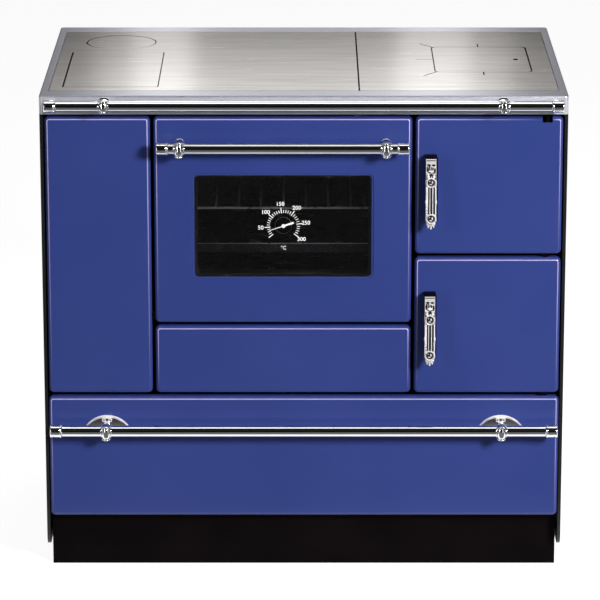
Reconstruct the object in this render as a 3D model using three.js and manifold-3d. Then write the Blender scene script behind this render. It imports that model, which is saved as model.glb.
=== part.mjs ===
// A free-standing wood-burning cookstove: enamelled doors and panels, a steel hob, an oven, a
// firebox with an ash compartment, and a fuel drawer. Millimetres, +Z up, the front faces -Y,
// and the origin is the middle of the footprint on the floor.
import * as THREE from 'three';
import { mergeVertices } from 'three/addons/utils/BufferGeometryUtils.js';
import Module from 'manifold-3d';

// ---------------------------------------------------------------- driving dimensions
// overall body
const stoveWidth = 900;
const stoveDepth = 600;
const clearance = 0.3; // between pieces that rest on one another
const lap = 1; // how far a cut runs past the face that it opens
const collarReach = 40; // as far behind the body as the rails stand in front of it

// casing
const plinthHeight = 96;
const plinthInset = 8;
const plinthSetback = 35;
const plinthSheet = 3;
const plinthFoot = 30;
const sideThickness = 5.5;
const sideSkin = 2;
const sideFold = 14;
const sideBottom = 40;
const sideCorner = 22;
const sideFrontGap = 2; // behind the panels' face
const backSheet = 2;
const frameSheet = 4;
const shelfSheet = 2;
const shelfGap = 2; // above the drawer front
const frameSetback = 37; // from the panels' face to the front frame

// enamelled panels and doors
const panelSetback = 8; // from the hob's lip to the panels' face
const panelDepth = 14;
const panelSheet = 2;
const panelCorner = 8.5;
const panelRoll = 6;
const panelGap = 5.5;
const sideGap = 2.5;
const hobGap = 6;
const drawerGap = 6;
const leftPanelWidth = 180;
const fireDoorWidth = 251.5;
const drawerLift = 0.5; // above the plinth
const drawerHeight = 218.5;
const drawerSideGap = 1; // between the drawer front and the side panels
const lowerPanelHeight = 121;
const ovenDoorHeight = 364.5;
const ashDoorHeight = 243.5;
const linerThickness = 19;
const linerInset = 30;

// hob
const lipHeight = 32;
const lipSheet = 3;
const hobEdge = 3;
const hobCorner = 5;
const sideBorder = 14;
const frontBorder = 42;
const plateThickness = 8;
const plateLedge = 10;
const ledgeThickness = 5;
const rightPlateWidth = 355; // from the joint between the plates to the hob's right side
const plateJointGap = 2.4;
const plateEdgeGap = 1;
const coverSeat = 3; // steel left under a cover's rim
const coverRim = 6;
const coverGap = 1.2;
const flueCoverRadius = 61.5;
const flueCoverSide = 119.5; // from the hob's left side to the flue cover's middle
const flueCoverRear = 142; // and from its rear side
const cleaningCoverWidth = 161;
const cleaningCoverDepth = 293;
const cleaningCoverCorner = 3;
const cleaningCoverSide = 38; // from the hob's left side
const cleaningCoverFront = 74; // from the hob's front
const fireCoverWidth = 167;
const fireCoverDepth = 218;
const fireCoverCorner = 10;
const fireCoverSide = 52.5; // from the hob's right side
const fireCoverFront = 197; // from the hob's front
const keySlotWidth = 8;
const keySlotDepth = 12;
const keySlotCorner = 2;
const keySlotSide = 21.5; // from the firebox cover's right edge
const expansionCut = 2.5;
const cutLap = 2; // the expansion cuts start this far inside the firebox cover's edge
const cutSlant = 22; // how far the corner cuts run to the left
const cutRun = 32; // how far the corner cuts run forward or back, and the left cut outwards
const cutShort = 26; // how far the front and back cuts run

// rails
const hobRailRadius = 9;
const hobRailInset = 10; // from the hob's side to the rail's end
const hobRailDrop = 12; // below the hob's top
const hobRailOffset = 28;
const hobBracketInset = 101; // from the rail's end to the bracket's middle
const hobBallRadius = 12;
const ovenRailRadius = 9.5;
const ovenRailInset = 5.75; // from the door's side to the rail's end
const ovenRailDrop = 48; // below the oven door's top
const ovenRailOffset = 34;
const ovenBracketInset = 39;
const ovenBallRadius = 14;
const drawerRailRadius = 10;
const drawerRailInset = 4.5; // from the drawer front's side to the rail's end
const drawerRailDrop = 52.3; // below the drawer front's top
const drawerRailOffset = 34;
const drawerBracketInset = 97;
const drawerBallRadius = 14;
const capLength = 21;
const capWall = 1.2;
const capEnd = 3;
const capRound = 2;
const capBead = 1;
const capBeadLength = 4;
const bracketStem = 6.5;
const bracketFoot = 10;
const footThickness = 3;
const rosetteWidth = 74;
const rosetteHeight = 38;
const rosetteThickness = 6;

// hinges
const hingeRadius = 4;
const hingeInset = 27; // from the right edge of the fire and ash doors
const hingeDepth = 8; // behind the panels' face
const ovenHingeRise = 12; // above the oven door's bottom edge
const lugWidth = 15;
const lugThickness = 3.5;
const notchHeight = 10;
const lugGap = 1; // between a lug and the notch around it
const lugHobGap = 2.5; // between the hinge post's top lug and the hob
const ovenPinLength = 16;

// oven door and oven
const windowWidth = 303.5;
const windowHeight = 179;
const windowCorner = 7.5;
const windowRise = 82.5; // above the door's bottom edge
const windowOverlap = 12;
const glassThickness = 4;
const dialHeight = 90; // above the window's bottom edge
const dialOffset = 0.75;
const hubRadius = 3.5;
const hubHoleRadius = 4.3;
const thermometerRadius = 14;
const thermometerDepth = 6;
const needleThickness = 0.8;
const needleLength = 25;
const needleTail = 19;
const needleWidth = 4;
const needleWaist = 2.8;
const needlePoint = 2; // length of the tail's pointed end
const hubHeight = 1.2;
const glassClamp = 2; // the liner's collar is this much smaller than the glass
const sightInset = 5; // and its window this much smaller than the door's
const needleAngle = 198.8;
const ovenWidth = 340;
const ovenHeight = 280;
const ovenDepth = 430;
const ovenRise = 37.5; // above the oven door's bottom edge
const ovenSheet = 2;
const rackHeight = 149;
const rackWire = 5;
const rackPitch = 39;
const trayHeight = 88;
const trayDepth = 22;
const traySheet = 1.5;
const trayGap = 6;
const ovenLedge = 6;
const ovenLedgeEnd = 10;
const rackFront = 20; // from the oven's mouth to the rack and the tray
const rackBack = 28; // from the rack to the oven's back
const ovenSlack = 1; // at each side of the rack and the tray
const trayBack = 38; // from the tray to the oven's back
const trayRim = 8;
const trayWallGap = 2; // between the dish and the ledges
const trayCorner = 6;
const dishCorner = 10;

// fire and ash doors
const handleWidth = 21;
const handleLength = 128;
const handleThickness = 10;
const handleLean = 10;
const handleChamfer = 3;
const handleTip = 4;
const handleSocket = 6; // how deep the spindle sits in the handle
const handleEdge = 26; // from the doors' left edge to the handle's middle
const handleOffset = 18;
const handlePivot = 11; // below the handle's top
const fireHandleDrop = 65; // from the door's top edge to the handle's top
const ashHandleDrop = 60;
const spindleRadius = 5;
const spindleHole = 5.3;
const spindleTail = 2; // behind the door's liner
const spindleCollar = 10;
const spindleCollarHeight = 6;
const linerHingeGap = 0.5;

// firebox
const fireWidth = 220;
const fireDepth = 400;
const fireSheet = 4;
const fireOpeningWidth = 166;
const fireOpeningHeight = 165;
const ashOpeningWidth = 176;
const ashOpeningHeight = 190;
const openingRise = 30; // above each door's bottom edge
const brickThickness = 30;
const brickTopGap = 29.4; // below the firebox's top
const brickFrontGap = 2;
const fireTopGap = 3; // between the firebox and the hob's ledge
const fireLedgeEnd = 5;
const grateRise = 20; // above the fire door's bottom edge
const grateThickness = 14;
const grateLedge = 9;
const grateSlot = 9;
const grateBar = 11;
const grateCorner = 3;
const ashPanWidth = 170;
const ashPanDepth = 350;
const ashPanHeight = 90;
const ashPanSheet = 2;
const ashPanFront = 4;
const sootWidth = 192;
const sootHeight = 66;
const sootOverlap = 12;
const sootCorner = 6;
const sootKnobRadius = 9;
const sootKnobGap = 4; // between the knob and the lower front panel

// fuel drawer
const drawerBoxGap = 19.2; // between the drawer's box and the casing's inside
const drawerOpeningGap = 3; // at each side of the box in the front frame
const drawerOpeningDrop = 5.5; // from the drawer front's top to the opening's
const drawerBoxDepth = 487;
const drawerBoxHeight = 170;
const drawerBoxSheet = 2;
const runnerHeight = 6;
const runnerWidth = 24;
const runnerLip = 14;
const runnerSheet = 3;
const runnerLength = 470;

// flue collar
const collarRadius = 60;
const collarWall = 2;
const collarFlange = 76;
const collarFlangeThickness = 3;
const collarDrop = 105; // below the hob's top

// ---------------------------------------------------------------- derived sizes
const drawerBottom = plinthHeight + drawerLift;
const drawerTop = drawerBottom + drawerHeight;
const rowBottom = drawerTop + drawerGap;
const ovenDoorBottom = rowBottom + lowerPanelHeight + panelGap;
const panelTop = ovenDoorBottom + ovenDoorHeight;
const lipBottom = panelTop + hobGap;
const stoveHeight = lipBottom + lipHeight;
const halfWidth = stoveWidth / 2;
const halfDepth = stoveDepth / 2;
const faceY = -halfDepth + panelSetback;
const panelHalf = halfWidth - sideThickness - sideGap;
const ovenDoorLeft = -panelHalf + leftPanelWidth + panelGap;
const fireDoorLeft = panelHalf - fireDoorWidth;
const ovenDoorRight = fireDoorLeft - panelGap;
const ovenDoorX = (ovenDoorLeft + ovenDoorRight) / 2;
const ovenDoorWidth = ovenDoorRight - ovenDoorLeft;
const fireDoorBottom = rowBottom + ashDoorHeight + panelGap;
const fireDoorHeight = panelTop - fireDoorBottom;
const fireDoorX = fireDoorLeft + fireDoorWidth / 2;
const hingeX = panelHalf - hingeInset;
const frameFront = faceY + frameSetback;
const frameBack = frameFront + frameSheet;
const innerHalf = halfWidth - sideThickness - clearance;
const plateJoint = halfWidth - rightPlateWidth;
const flueCoverX = -halfWidth + flueCoverSide;
const flueCoverY = halfDepth - flueCoverRear;
const cleaningCover = {
  left: -halfWidth + cleaningCoverSide,
  right: -halfWidth + cleaningCoverSide + cleaningCoverWidth,
  front: -halfDepth + cleaningCoverFront,
  back: -halfDepth + cleaningCoverFront + cleaningCoverDepth,
  corner: cleaningCoverCorner,
};
const fireCover = {
  left: halfWidth - fireCoverSide - fireCoverWidth,
  right: halfWidth - fireCoverSide,
  front: -halfDepth + fireCoverFront,
  back: -halfDepth + fireCoverFront + fireCoverDepth,
  corner: fireCoverCorner,
};
const drawerBoxHalf = innerHalf - drawerBoxGap;
const shelfZ = drawerTop + shelfGap;
const backInner = halfDepth - backSheet;

// ---------------------------------------------------------------- materials
function finish(color, roughness, metalness) {
  return new THREE.MeshStandardMaterial({ color, roughness, metalness });
}
const enamel = finish(0x38488a, 0.18, 0.1);
const blackSteel = finish(0x141212, 0.55, 0.3);
const stainless = finish(0xc4c4cc, 0.28, 1);
const hobSteel = finish(0xa8a49c, 0.42, 1);
const chrome = finish(0xe2e2e6, 0.08, 1);
const castIron = finish(0x1d1c1b, 0.7, 0.4);
const glass = finish(0x07080a, 0.05, 0);
const dialWhite = finish(0xf2f2ee, 0.4, 0);
const ovenEnamel = finish(0x26282c, 0.35, 0.1);
const brick = finish(0xb59a74, 0.9, 0);
const zinc = finish(0x9a9c9f, 0.4, 0.8);

// ---------------------------------------------------------------- solids
const wasm = await Module();
wasm.setup();

function toSolid(geometry) {
  const bare = geometry.clone();
  bare.deleteAttribute('normal');
  bare.deleteAttribute('uv');
  const merged = mergeVertices(bare, 1e-4);
  return new wasm.Manifold(new wasm.Mesh({
    numProp: 3,
    vertProperties: new Float32Array(merged.attributes.position.array),
    triVerts: new Uint32Array(merged.index.array),
  }));
}

function toGeometry(solid) {
  const mesh = solid.getMesh();
  const geometry = new THREE.BufferGeometry();
  geometry.setAttribute('position', new THREE.BufferAttribute(mesh.vertProperties, 3));
  geometry.setIndex(new THREE.BufferAttribute(mesh.triVerts, 1));
  geometry.computeVertexNormals();
  return geometry;
}

function cut(geometry, tools) {
  let solid = toSolid(geometry);
  for (const tool of tools) {
    solid = solid.subtract(toSolid(tool));
  }
  return toGeometry(solid);
}

function join(geometry, others) {
  let solid = toSolid(geometry);
  for (const other of others) {
    solid = solid.add(toSolid(other));
  }
  return toGeometry(solid);
}

// a box between two corners
function block(x0, x1, y0, y1, z0, z1) {
  const geometry = new THREE.BoxGeometry(x1 - x0, y1 - y0, z1 - z0);
  return geometry.translate((x0 + x1) / 2, (y0 + y1) / 2, (z0 + z1) / 2);
}

// a cylinder from one point to another
function rod(radius, from, to, sides = 16) {
  const start = new THREE.Vector3(...from);
  const span = new THREE.Vector3(...to).sub(start);
  const geometry = new THREE.CylinderGeometry(radius, radius, span.length(), sides);
  const turn = new THREE.Quaternion().setFromUnitVectors(
    new THREE.Vector3(0, 1, 0), span.clone().normalize());
  geometry.applyQuaternion(turn);
  const middle = start.addScaledVector(span, 0.5);
  return geometry.translate(middle.x, middle.y, middle.z);
}

// the points of a rounded rectangle around the origin, anticlockwise
function roundedOutline(width, height, radius, steps) {
  const points = [];
  const corners = [[1, 1, 0], [-1, 1, 1], [-1, -1, 2], [1, -1, 3]];
  for (const [sx, sy, quarter] of corners) {
    for (let step = 0; step <= steps; step += 1) {
      const angle = (quarter + step / steps) * Math.PI / 2;
      points.push(new THREE.Vector2(
        sx * (width / 2 - radius) + radius * Math.cos(angle),
        sy * (height / 2 - radius) + radius * Math.sin(angle)));
    }
  }
  return points;
}

// a plate with rounded corners, stacked from levels along z that are each drawn in by an inset
function roundedPlate(width, height, radius, levels, steps = 5) {
  const positions = [];
  const index = [];
  const count = 4 * (steps + 1);
  for (const { z, inset } of levels) {
    const corner = Math.max(radius - inset, 0.4);
    for (const point of roundedOutline(width - 2 * inset, height - 2 * inset, corner, steps)) {
      positions.push(point.x, point.y, z);
    }
  }
  for (let level = 0; level + 1 < levels.length; level += 1) {
    for (let i = 0; i < count; i += 1) {
      const a = level * count + i;
      const b = level * count + (i + 1) % count;
      index.push(a, b, b + count, a, b + count, a + count);
    }
  }
  const top = (levels.length - 1) * count;
  for (let i = 1; i + 1 < count; i += 1) {
    index.push(0, i + 1, i);
    index.push(top, top + i, top + i + 1);
  }
  const geometry = new THREE.BufferGeometry();
  geometry.setAttribute('position', new THREE.Float32BufferAttribute(positions, 3));
  geometry.setIndex(index);
  geometry.computeVertexNormals();
  return geometry;
}

// a plain rounded plate between two z levels
function flatPlate(width, height, radius, z0, z1, steps = 5) {
  return roundedPlate(width, height, radius, [{ z: z0, inset: 0 }, { z: z1, inset: 0 }], steps);
}

function piece(group, name, material, geometry, x = 0, y = 0, z = 0) {
  const mesh = new THREE.Mesh(geometry, material);
  mesh.name = name;
  mesh.position.set(x, y, z);
  group.add(mesh);
  return mesh;
}

// ---------------------------------------------------------------- groups
const stove = new THREE.Group();
const hob = new THREE.Group();
hob.position.z = stoveHeight;
stove.add(hob);

// the front's own frame: x right, y up, z straight out of the panels' face
const front = new THREE.Group();
front.rotation.x = Math.PI / 2;
front.position.y = faceY;
stove.add(front);

function frontGroup(x, y) {
  const group = new THREE.Group();
  group.position.set(x, y, 0);
  front.add(group);
  return group;
}

// ---------------------------------------------------------------- casing
// the plinth is a folded steel base, closed on top and open below, with a foot all round
function plinth() {
  const half = halfWidth - plinthInset;
  const y0 = -halfDepth + plinthSetback;
  const y1 = halfDepth - plinthInset;
  const body = block(-half, half, y0, y1, 0, plinthHeight);
  const hollow = block(
    -half + plinthSheet, half - plinthSheet,
    y0 + plinthSheet, y1 - plinthSheet, plinthSheet, plinthHeight - plinthSheet);
  const below = block(
    -half + plinthFoot, half - plinthFoot, y0 + plinthFoot, y1 - plinthFoot,
    -lap, plinthSheet + lap);
  piece(stove, 'plinth', blackSteel, cut(body, [hollow, below]));
}

// a side panel is a shallow pan with its folds turned inwards
function sidePanel(name, side) {
  const height = lipBottom - clearance - sideBottom;
  const y0 = faceY + sideFrontGap;
  const depth = halfDepth - y0;
  const shape = new THREE.Shape();
  shape.moveTo(sideCorner, 0);
  shape.lineTo(depth, 0);
  shape.lineTo(depth, height);
  shape.lineTo(0, height);
  shape.lineTo(0, sideCorner);
  shape.absarc(sideCorner, sideCorner, sideCorner, Math.PI, 1.5 * Math.PI, false);
  const panel = new THREE.ExtrudeGeometry(shape, {
    depth: sideThickness, bevelEnabled: false, curveSegments: 6,
  });
  const pocket = block(
    sideFold, depth - sideFold, sideFold, height - sideFold, sideSkin, sideThickness + lap);
  const geometry = cut(panel, [pocket]);
  // shape x runs back, shape y runs up, and the extrusion runs inwards from the outer face
  const turn = new THREE.Matrix4().makeBasis(
    new THREE.Vector3(0, 1, 0), new THREE.Vector3(0, 0, 1), new THREE.Vector3(1, 0, 0));
  geometry.applyMatrix4(turn);
  if (side > 0) {
    geometry.scale(-1, 1, 1);
    const index = geometry.index;
    for (let i = 0; i < index.count; i += 3) {
      const swap = index.getX(i);
      index.setX(i, index.getX(i + 2));
      index.setX(i + 2, swap);
    }
  }
  piece(stove, name, blackSteel, geometry, side * halfWidth, y0, sideBottom);
}

function backPanel() {
  const half = innerHalf;
  const z0 = plinthHeight + clearance;
  const z1 = lipBottom - clearance;
  const panel = block(-half, half, backInner, halfDepth, z0, z1);
  const hole = rod(
    collarRadius, [flueCoverX, backInner - lap, stoveHeight - collarDrop],
    [flueCoverX, halfDepth + lap, stoveHeight - collarDrop], 32);
  piece(stove, 'back_panel', blackSteel, cut(panel, [hole]));
}

// the frame behind the doors has an opening for each of them
function frontFrame() {
  const z0 = plinthHeight + clearance;
  const z1 = lipBottom - clearance;
  const y0 = frameFront - lap;
  const y1 = frameBack + lap;
  const plate = block(-innerHalf, innerHalf, frameFront, frameBack, z0, z1);
  const drawerZ = plinthHeight - lap;
  const openings = [
    [ovenDoorX, ovenWidth, ovenDoorBottom + ovenRise, ovenHeight],
    [fireDoorX, fireOpeningWidth, fireDoorBottom + openingRise, fireOpeningHeight],
    [fireDoorX, ashOpeningWidth, rowBottom + openingRise, ashOpeningHeight],
    [ovenDoorX, sootWidth, rowBottom + (lowerPanelHeight - sootHeight) / 2, sootHeight],
    [0, 2 * (drawerBoxHalf + drawerOpeningGap), drawerZ, drawerTop - drawerOpeningDrop - drawerZ],
  ];
  const cuts = openings.map(([x, width, bottom, height]) => (
    block(x - width / 2, x + width / 2, y0, y1, bottom, bottom + height)));
  piece(stove, 'front_frame', blackSteel, cut(plate, cuts));
}

// the shelf closes the drawer's compartment from above
function middleShelf() {
  piece(stove, 'middle_shelf', blackSteel, block(
    -innerHalf, innerHalf, frameBack + clearance, backInner - clearance,
    shelfZ, shelfZ + shelfSheet));
}

// an L-shaped runner on each side carries the fuel drawer
function drawerRunner(name, side) {
  const shape = new THREE.Shape();
  shape.moveTo(0, 0);
  shape.lineTo(runnerWidth + runnerSheet, 0);
  shape.lineTo(runnerWidth + runnerSheet, runnerHeight + runnerLip);
  shape.lineTo(runnerWidth, runnerHeight + runnerLip);
  shape.lineTo(runnerWidth, runnerHeight);
  shape.lineTo(0, runnerHeight);
  shape.closePath();
  const geometry = new THREE.ExtrudeGeometry(shape, { depth: runnerLength, bevelEnabled: false });
  const mesh = piece(stove, name, zinc, geometry);
  const inner = drawerBoxHalf + clearance - runnerWidth;
  if (side > 0) {
    mesh.rotation.x = Math.PI / 2;
    mesh.position.set(inner, frameBack + clearance + runnerLength, plinthHeight + clearance);
  } else {
    mesh.rotation.set(Math.PI / 2, Math.PI, 0, 'XYZ');
    mesh.position.set(-inner, frameBack + clearance, plinthHeight + clearance);
  }
}

// ---------------------------------------------------------------- enamelled panels
// a panel is a pan of sheet steel: a rolled front edge, folds turned back, hollow behind
function enamelPan(width, height, depth = panelDepth) {
  const rollSteps = 3;
  const levels = [{ z: -depth, inset: 0 }];
  for (let step = 0; step <= rollSteps; step += 1) {
    const angle = step / rollSteps * Math.PI / 2;
    levels.push({
      z: -panelRoll + panelRoll * Math.sin(angle),
      inset: panelRoll - panelRoll * Math.cos(angle),
    });
  }
  const body = roundedPlate(width, height, panelCorner, levels);
  const inner = panelRoll - panelSheet;
  const hollow = roundedPlate(
    width - 2 * panelSheet, height - 2 * panelSheet, panelCorner - panelSheet, [
      { z: -depth - lap, inset: 0 },
      { z: -panelRoll, inset: 0 },
      { z: -panelSheet - inner * (1 - Math.SQRT1_2), inset: inner * (1 - Math.SQRT1_2) },
      { z: -panelSheet, inset: inner },
    ]);
  return { body, hollow };
}

function plainPanel(name, left, right, bottom, top, group = front) {
  const { body, hollow } = enamelPan(right - left, top - bottom);
  piece(group, name, enamel, cut(body, [hollow]), (left + right) / 2, (bottom + top) / 2, 0);
}

// ---------------------------------------------------------------- rails
// a rail's end cap is a cup over the tube's end with a raised ring at its mouth
function railCap(radius) {
  const outer = radius + clearance + capWall;
  const profile = [
    [0, 0], [outer - capRound, 0], [outer, capRound],
    [outer, capLength - capBeadLength - capBead], [outer + capBead, capLength - capBeadLength],
    [outer + capBead, capLength], [radius + clearance, capLength],
    [radius + clearance, capEnd], [0, capEnd],
  ];
  return new THREE.LatheGeometry(profile.map(([r, y]) => new THREE.Vector2(r, y)), 16);
}

// a bracket is a ball around the tube on a stem with a round foot
function railBracket(radius, ball, offset) {
  const sphere = new THREE.SphereGeometry(ball, 16, 10);
  const stem = rod(bracketStem, [0, 0, 0], [0, 0, -offset + lap], 12);
  const foot = rod(bracketFoot, [0, 0, -offset + clearance], [0, 0, -offset + footThickness], 16);
  const bore = rod(radius + clearance, [-2 * ball, 0, 0], [2 * ball, 0, 0], 16);
  return cut(join(sphere, [stem, foot]), [bore]);
}

// the drawer's brackets grow out of a pointed oval rosette
function rosetteBracket(radius, ball, offset) {
  const half = rosetteWidth / 2;
  const rise = rosetteHeight / 2;
  const sweep = (half * half + rise * rise) / (2 * rise);
  const angle = Math.asin(half / sweep);
  const shape = new THREE.Shape();
  shape.absarc(0, rise - sweep, sweep, Math.PI / 2 - angle, Math.PI / 2 + angle, false);
  shape.absarc(0, sweep - rise, sweep, 1.5 * Math.PI - angle, 1.5 * Math.PI + angle, false);
  const leaf = new THREE.ExtrudeGeometry(shape, {
    depth: rosetteThickness, bevelEnabled: false, curveSegments: 8,
  });
  leaf.translate(0, 0, -offset + clearance);
  return toGeometry(toSolid(leaf).add(toSolid(railBracket(radius, ball, offset))));
}

function rail(group, prefix, sizes, bracket, x, y, z) {
  const place = new THREE.Group();
  place.position.set(x, y, z);
  group.add(place);
  const half = sizes.length / 2;
  const tubeHalf = half - capEnd - clearance;
  piece(place, prefix, chrome, rod(sizes.radius, [-tubeHalf, 0, 0], [tubeHalf, 0, 0]));
  for (const [end, side] of [['left', -1], ['right', 1]]) {
    const cap = piece(place, `${prefix}_cap_${end}`, chrome, railCap(sizes.radius), side * half);
    cap.rotation.z = side * Math.PI / 2;
    piece(
      place, `${prefix}_bracket_${end}`, chrome,
      bracket(sizes.radius, sizes.ball, sizes.offset), side * (half - sizes.inset));
  }
}

// ---------------------------------------------------------------- hob
function hobFrame() {
  const levels = [{ z: -lipHeight, inset: 0 }];
  for (let step = 0; step <= 3; step += 1) {
    const angle = step / 3 * Math.PI / 2;
    levels.push({
      z: -hobEdge + hobEdge * Math.sin(angle),
      inset: hobEdge - hobEdge * Math.cos(angle),
    });
  }
  const body = roundedPlate(stoveWidth, stoveDepth, hobCorner, levels);
  const seat = plateThickness + clearance;
  const hollow = block(
    -halfWidth + lipSheet, halfWidth - lipSheet, -halfDepth + lipSheet, halfDepth - lipSheet,
    -lipHeight - lap, -seat - ledgeThickness);
  const x1 = halfWidth - sideBorder;
  const y1 = halfDepth - frontBorder;
  const recess = block(-x1, x1, -y1, y1, -seat, lap);
  const ledgeX = x1 - plateLedge;
  const ledgeY = y1 - plateLedge;
  const through = block(-ledgeX, ledgeX, -ledgeY, ledgeY, -lipHeight, lap);
  piece(hob, 'hob_frame', stainless, cut(body, [hollow, recess, through]));
}

const plateTop = 0;
const plateBottom = -plateThickness;
const plateHalfY = halfDepth - frontBorder - plateEdgeGap;
const plateLeft = -halfWidth + sideBorder + plateEdgeGap;
const plateRight = halfWidth - sideBorder - plateEdgeGap;

// a seat for a cover: a recess as wide as the cover and its gap, and a smaller hole through
function coverRecess(width, depth, corner, x, y) {
  const seatZ = plateBottom + coverSeat;
  const wide = flatPlate(
    width + 2 * coverGap, depth + 2 * coverGap, corner + coverGap, seatZ, plateTop + lap, 4);
  const hole = flatPlate(
    width - 2 * coverRim, depth - 2 * coverRim, Math.max(corner - coverRim, 2),
    plateBottom - lap, seatZ + lap, 4);
  return [wide.translate(x, y, 0), hole.translate(x, y, 0)];
}

function hobPlateLeft() {
  const plate = block(
    plateLeft, plateJoint - plateJointGap / 2, -plateHalfY, plateHalfY, plateBottom, plateTop);
  const seatZ = plateBottom + coverSeat;
  const round = [
    rod(flueCoverRadius + coverGap, [flueCoverX, flueCoverY, seatZ],
      [flueCoverX, flueCoverY, plateTop + lap], 40),
    rod(flueCoverRadius - coverRim, [flueCoverX, flueCoverY, plateBottom - lap],
      [flueCoverX, flueCoverY, seatZ + lap], 40),
  ];
  const c = cleaningCover;
  const square = coverRecess(
    c.right - c.left, c.back - c.front, c.corner, (c.left + c.right) / 2, (c.front + c.back) / 2);
  piece(hob, 'hob_plate_left', hobSteel, cut(plate, [...round, ...square]));
}

// a straight slot through the plate between two points
function slotCut(x0, y0, x1, y1) {
  const length = Math.hypot(x1 - x0, y1 - y0);
  const slot = new THREE.BoxGeometry(length, expansionCut, 3 * plateThickness);
  slot.rotateZ(Math.atan2(y1 - y0, x1 - x0));
  return slot.translate((x0 + x1) / 2, (y0 + y1) / 2, 0);
}

function hobPlateRight() {
  const x0 = plateJoint + plateJointGap / 2;
  const plate = block(x0, plateRight, -plateHalfY, plateHalfY, plateBottom, plateTop);
  const c = fireCover;
  const square = coverRecess(
    c.right - c.left, c.back - c.front, c.corner, (c.left + c.right) / 2, (c.front + c.back) / 2);
  const middleX = (c.left + c.right) / 2;
  const middleY = (c.front + c.back) / 2;
  const left = c.left + cutLap;
  const cuts = [
    slotCut(left, c.back - cutLap, c.left - cutSlant, c.back + cutRun),
    slotCut(left, c.front + cutLap, c.left - cutSlant, c.front - cutRun),
    slotCut(left, middleY, c.left - cutRun, middleY),
    slotCut(middleX, c.back - cutLap, middleX, c.back + cutShort),
    slotCut(middleX, c.front + cutLap, middleX, c.front - cutShort),
  ];
  piece(hob, 'hob_plate_right', hobSteel, cut(plate, [...square, ...cuts]));
}

function covers() {
  const thickness = plateThickness - coverSeat - clearance;
  const round = rod(flueCoverRadius, [0, 0, -thickness], [0, 0, 0], 40);
  piece(hob, 'flue_cover', hobSteel, round, flueCoverX, flueCoverY, plateTop);
  const c = cleaningCover;
  const plain = flatPlate(c.right - c.left, c.back - c.front, c.corner, -thickness, 0, 4);
  piece(
    hob, 'cleaning_cover', hobSteel, plain,
    (c.left + c.right) / 2, (c.front + c.back) / 2, plateTop);
  const f = fireCover;
  const x = (f.left + f.right) / 2;
  const y = (f.front + f.back) / 2;
  const slotted = flatPlate(f.right - f.left, f.back - f.front, f.corner, -thickness, 0, 4);
  const key = flatPlate(keySlotWidth, keySlotDepth, keySlotCorner, -thickness - lap, lap, 3);
  key.translate(fireCoverWidth / 2 - keySlotSide, 0, 0);
  piece(hob, 'firebox_cover', hobSteel, cut(slotted, [key]), x, y, plateTop);
}

function hobRail() {
  const group = new THREE.Group();
  group.rotation.x = Math.PI / 2;
  group.position.set(0, -halfDepth, -hobRailDrop);
  hob.add(group);
  rail(group, 'hob_rail', {
    radius: hobRailRadius, length: stoveWidth - 2 * hobRailInset, inset: hobBracketInset,
    ball: hobBallRadius, offset: hobRailOffset,
  }, railBracket, 0, 0, hobRailOffset);
}

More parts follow.
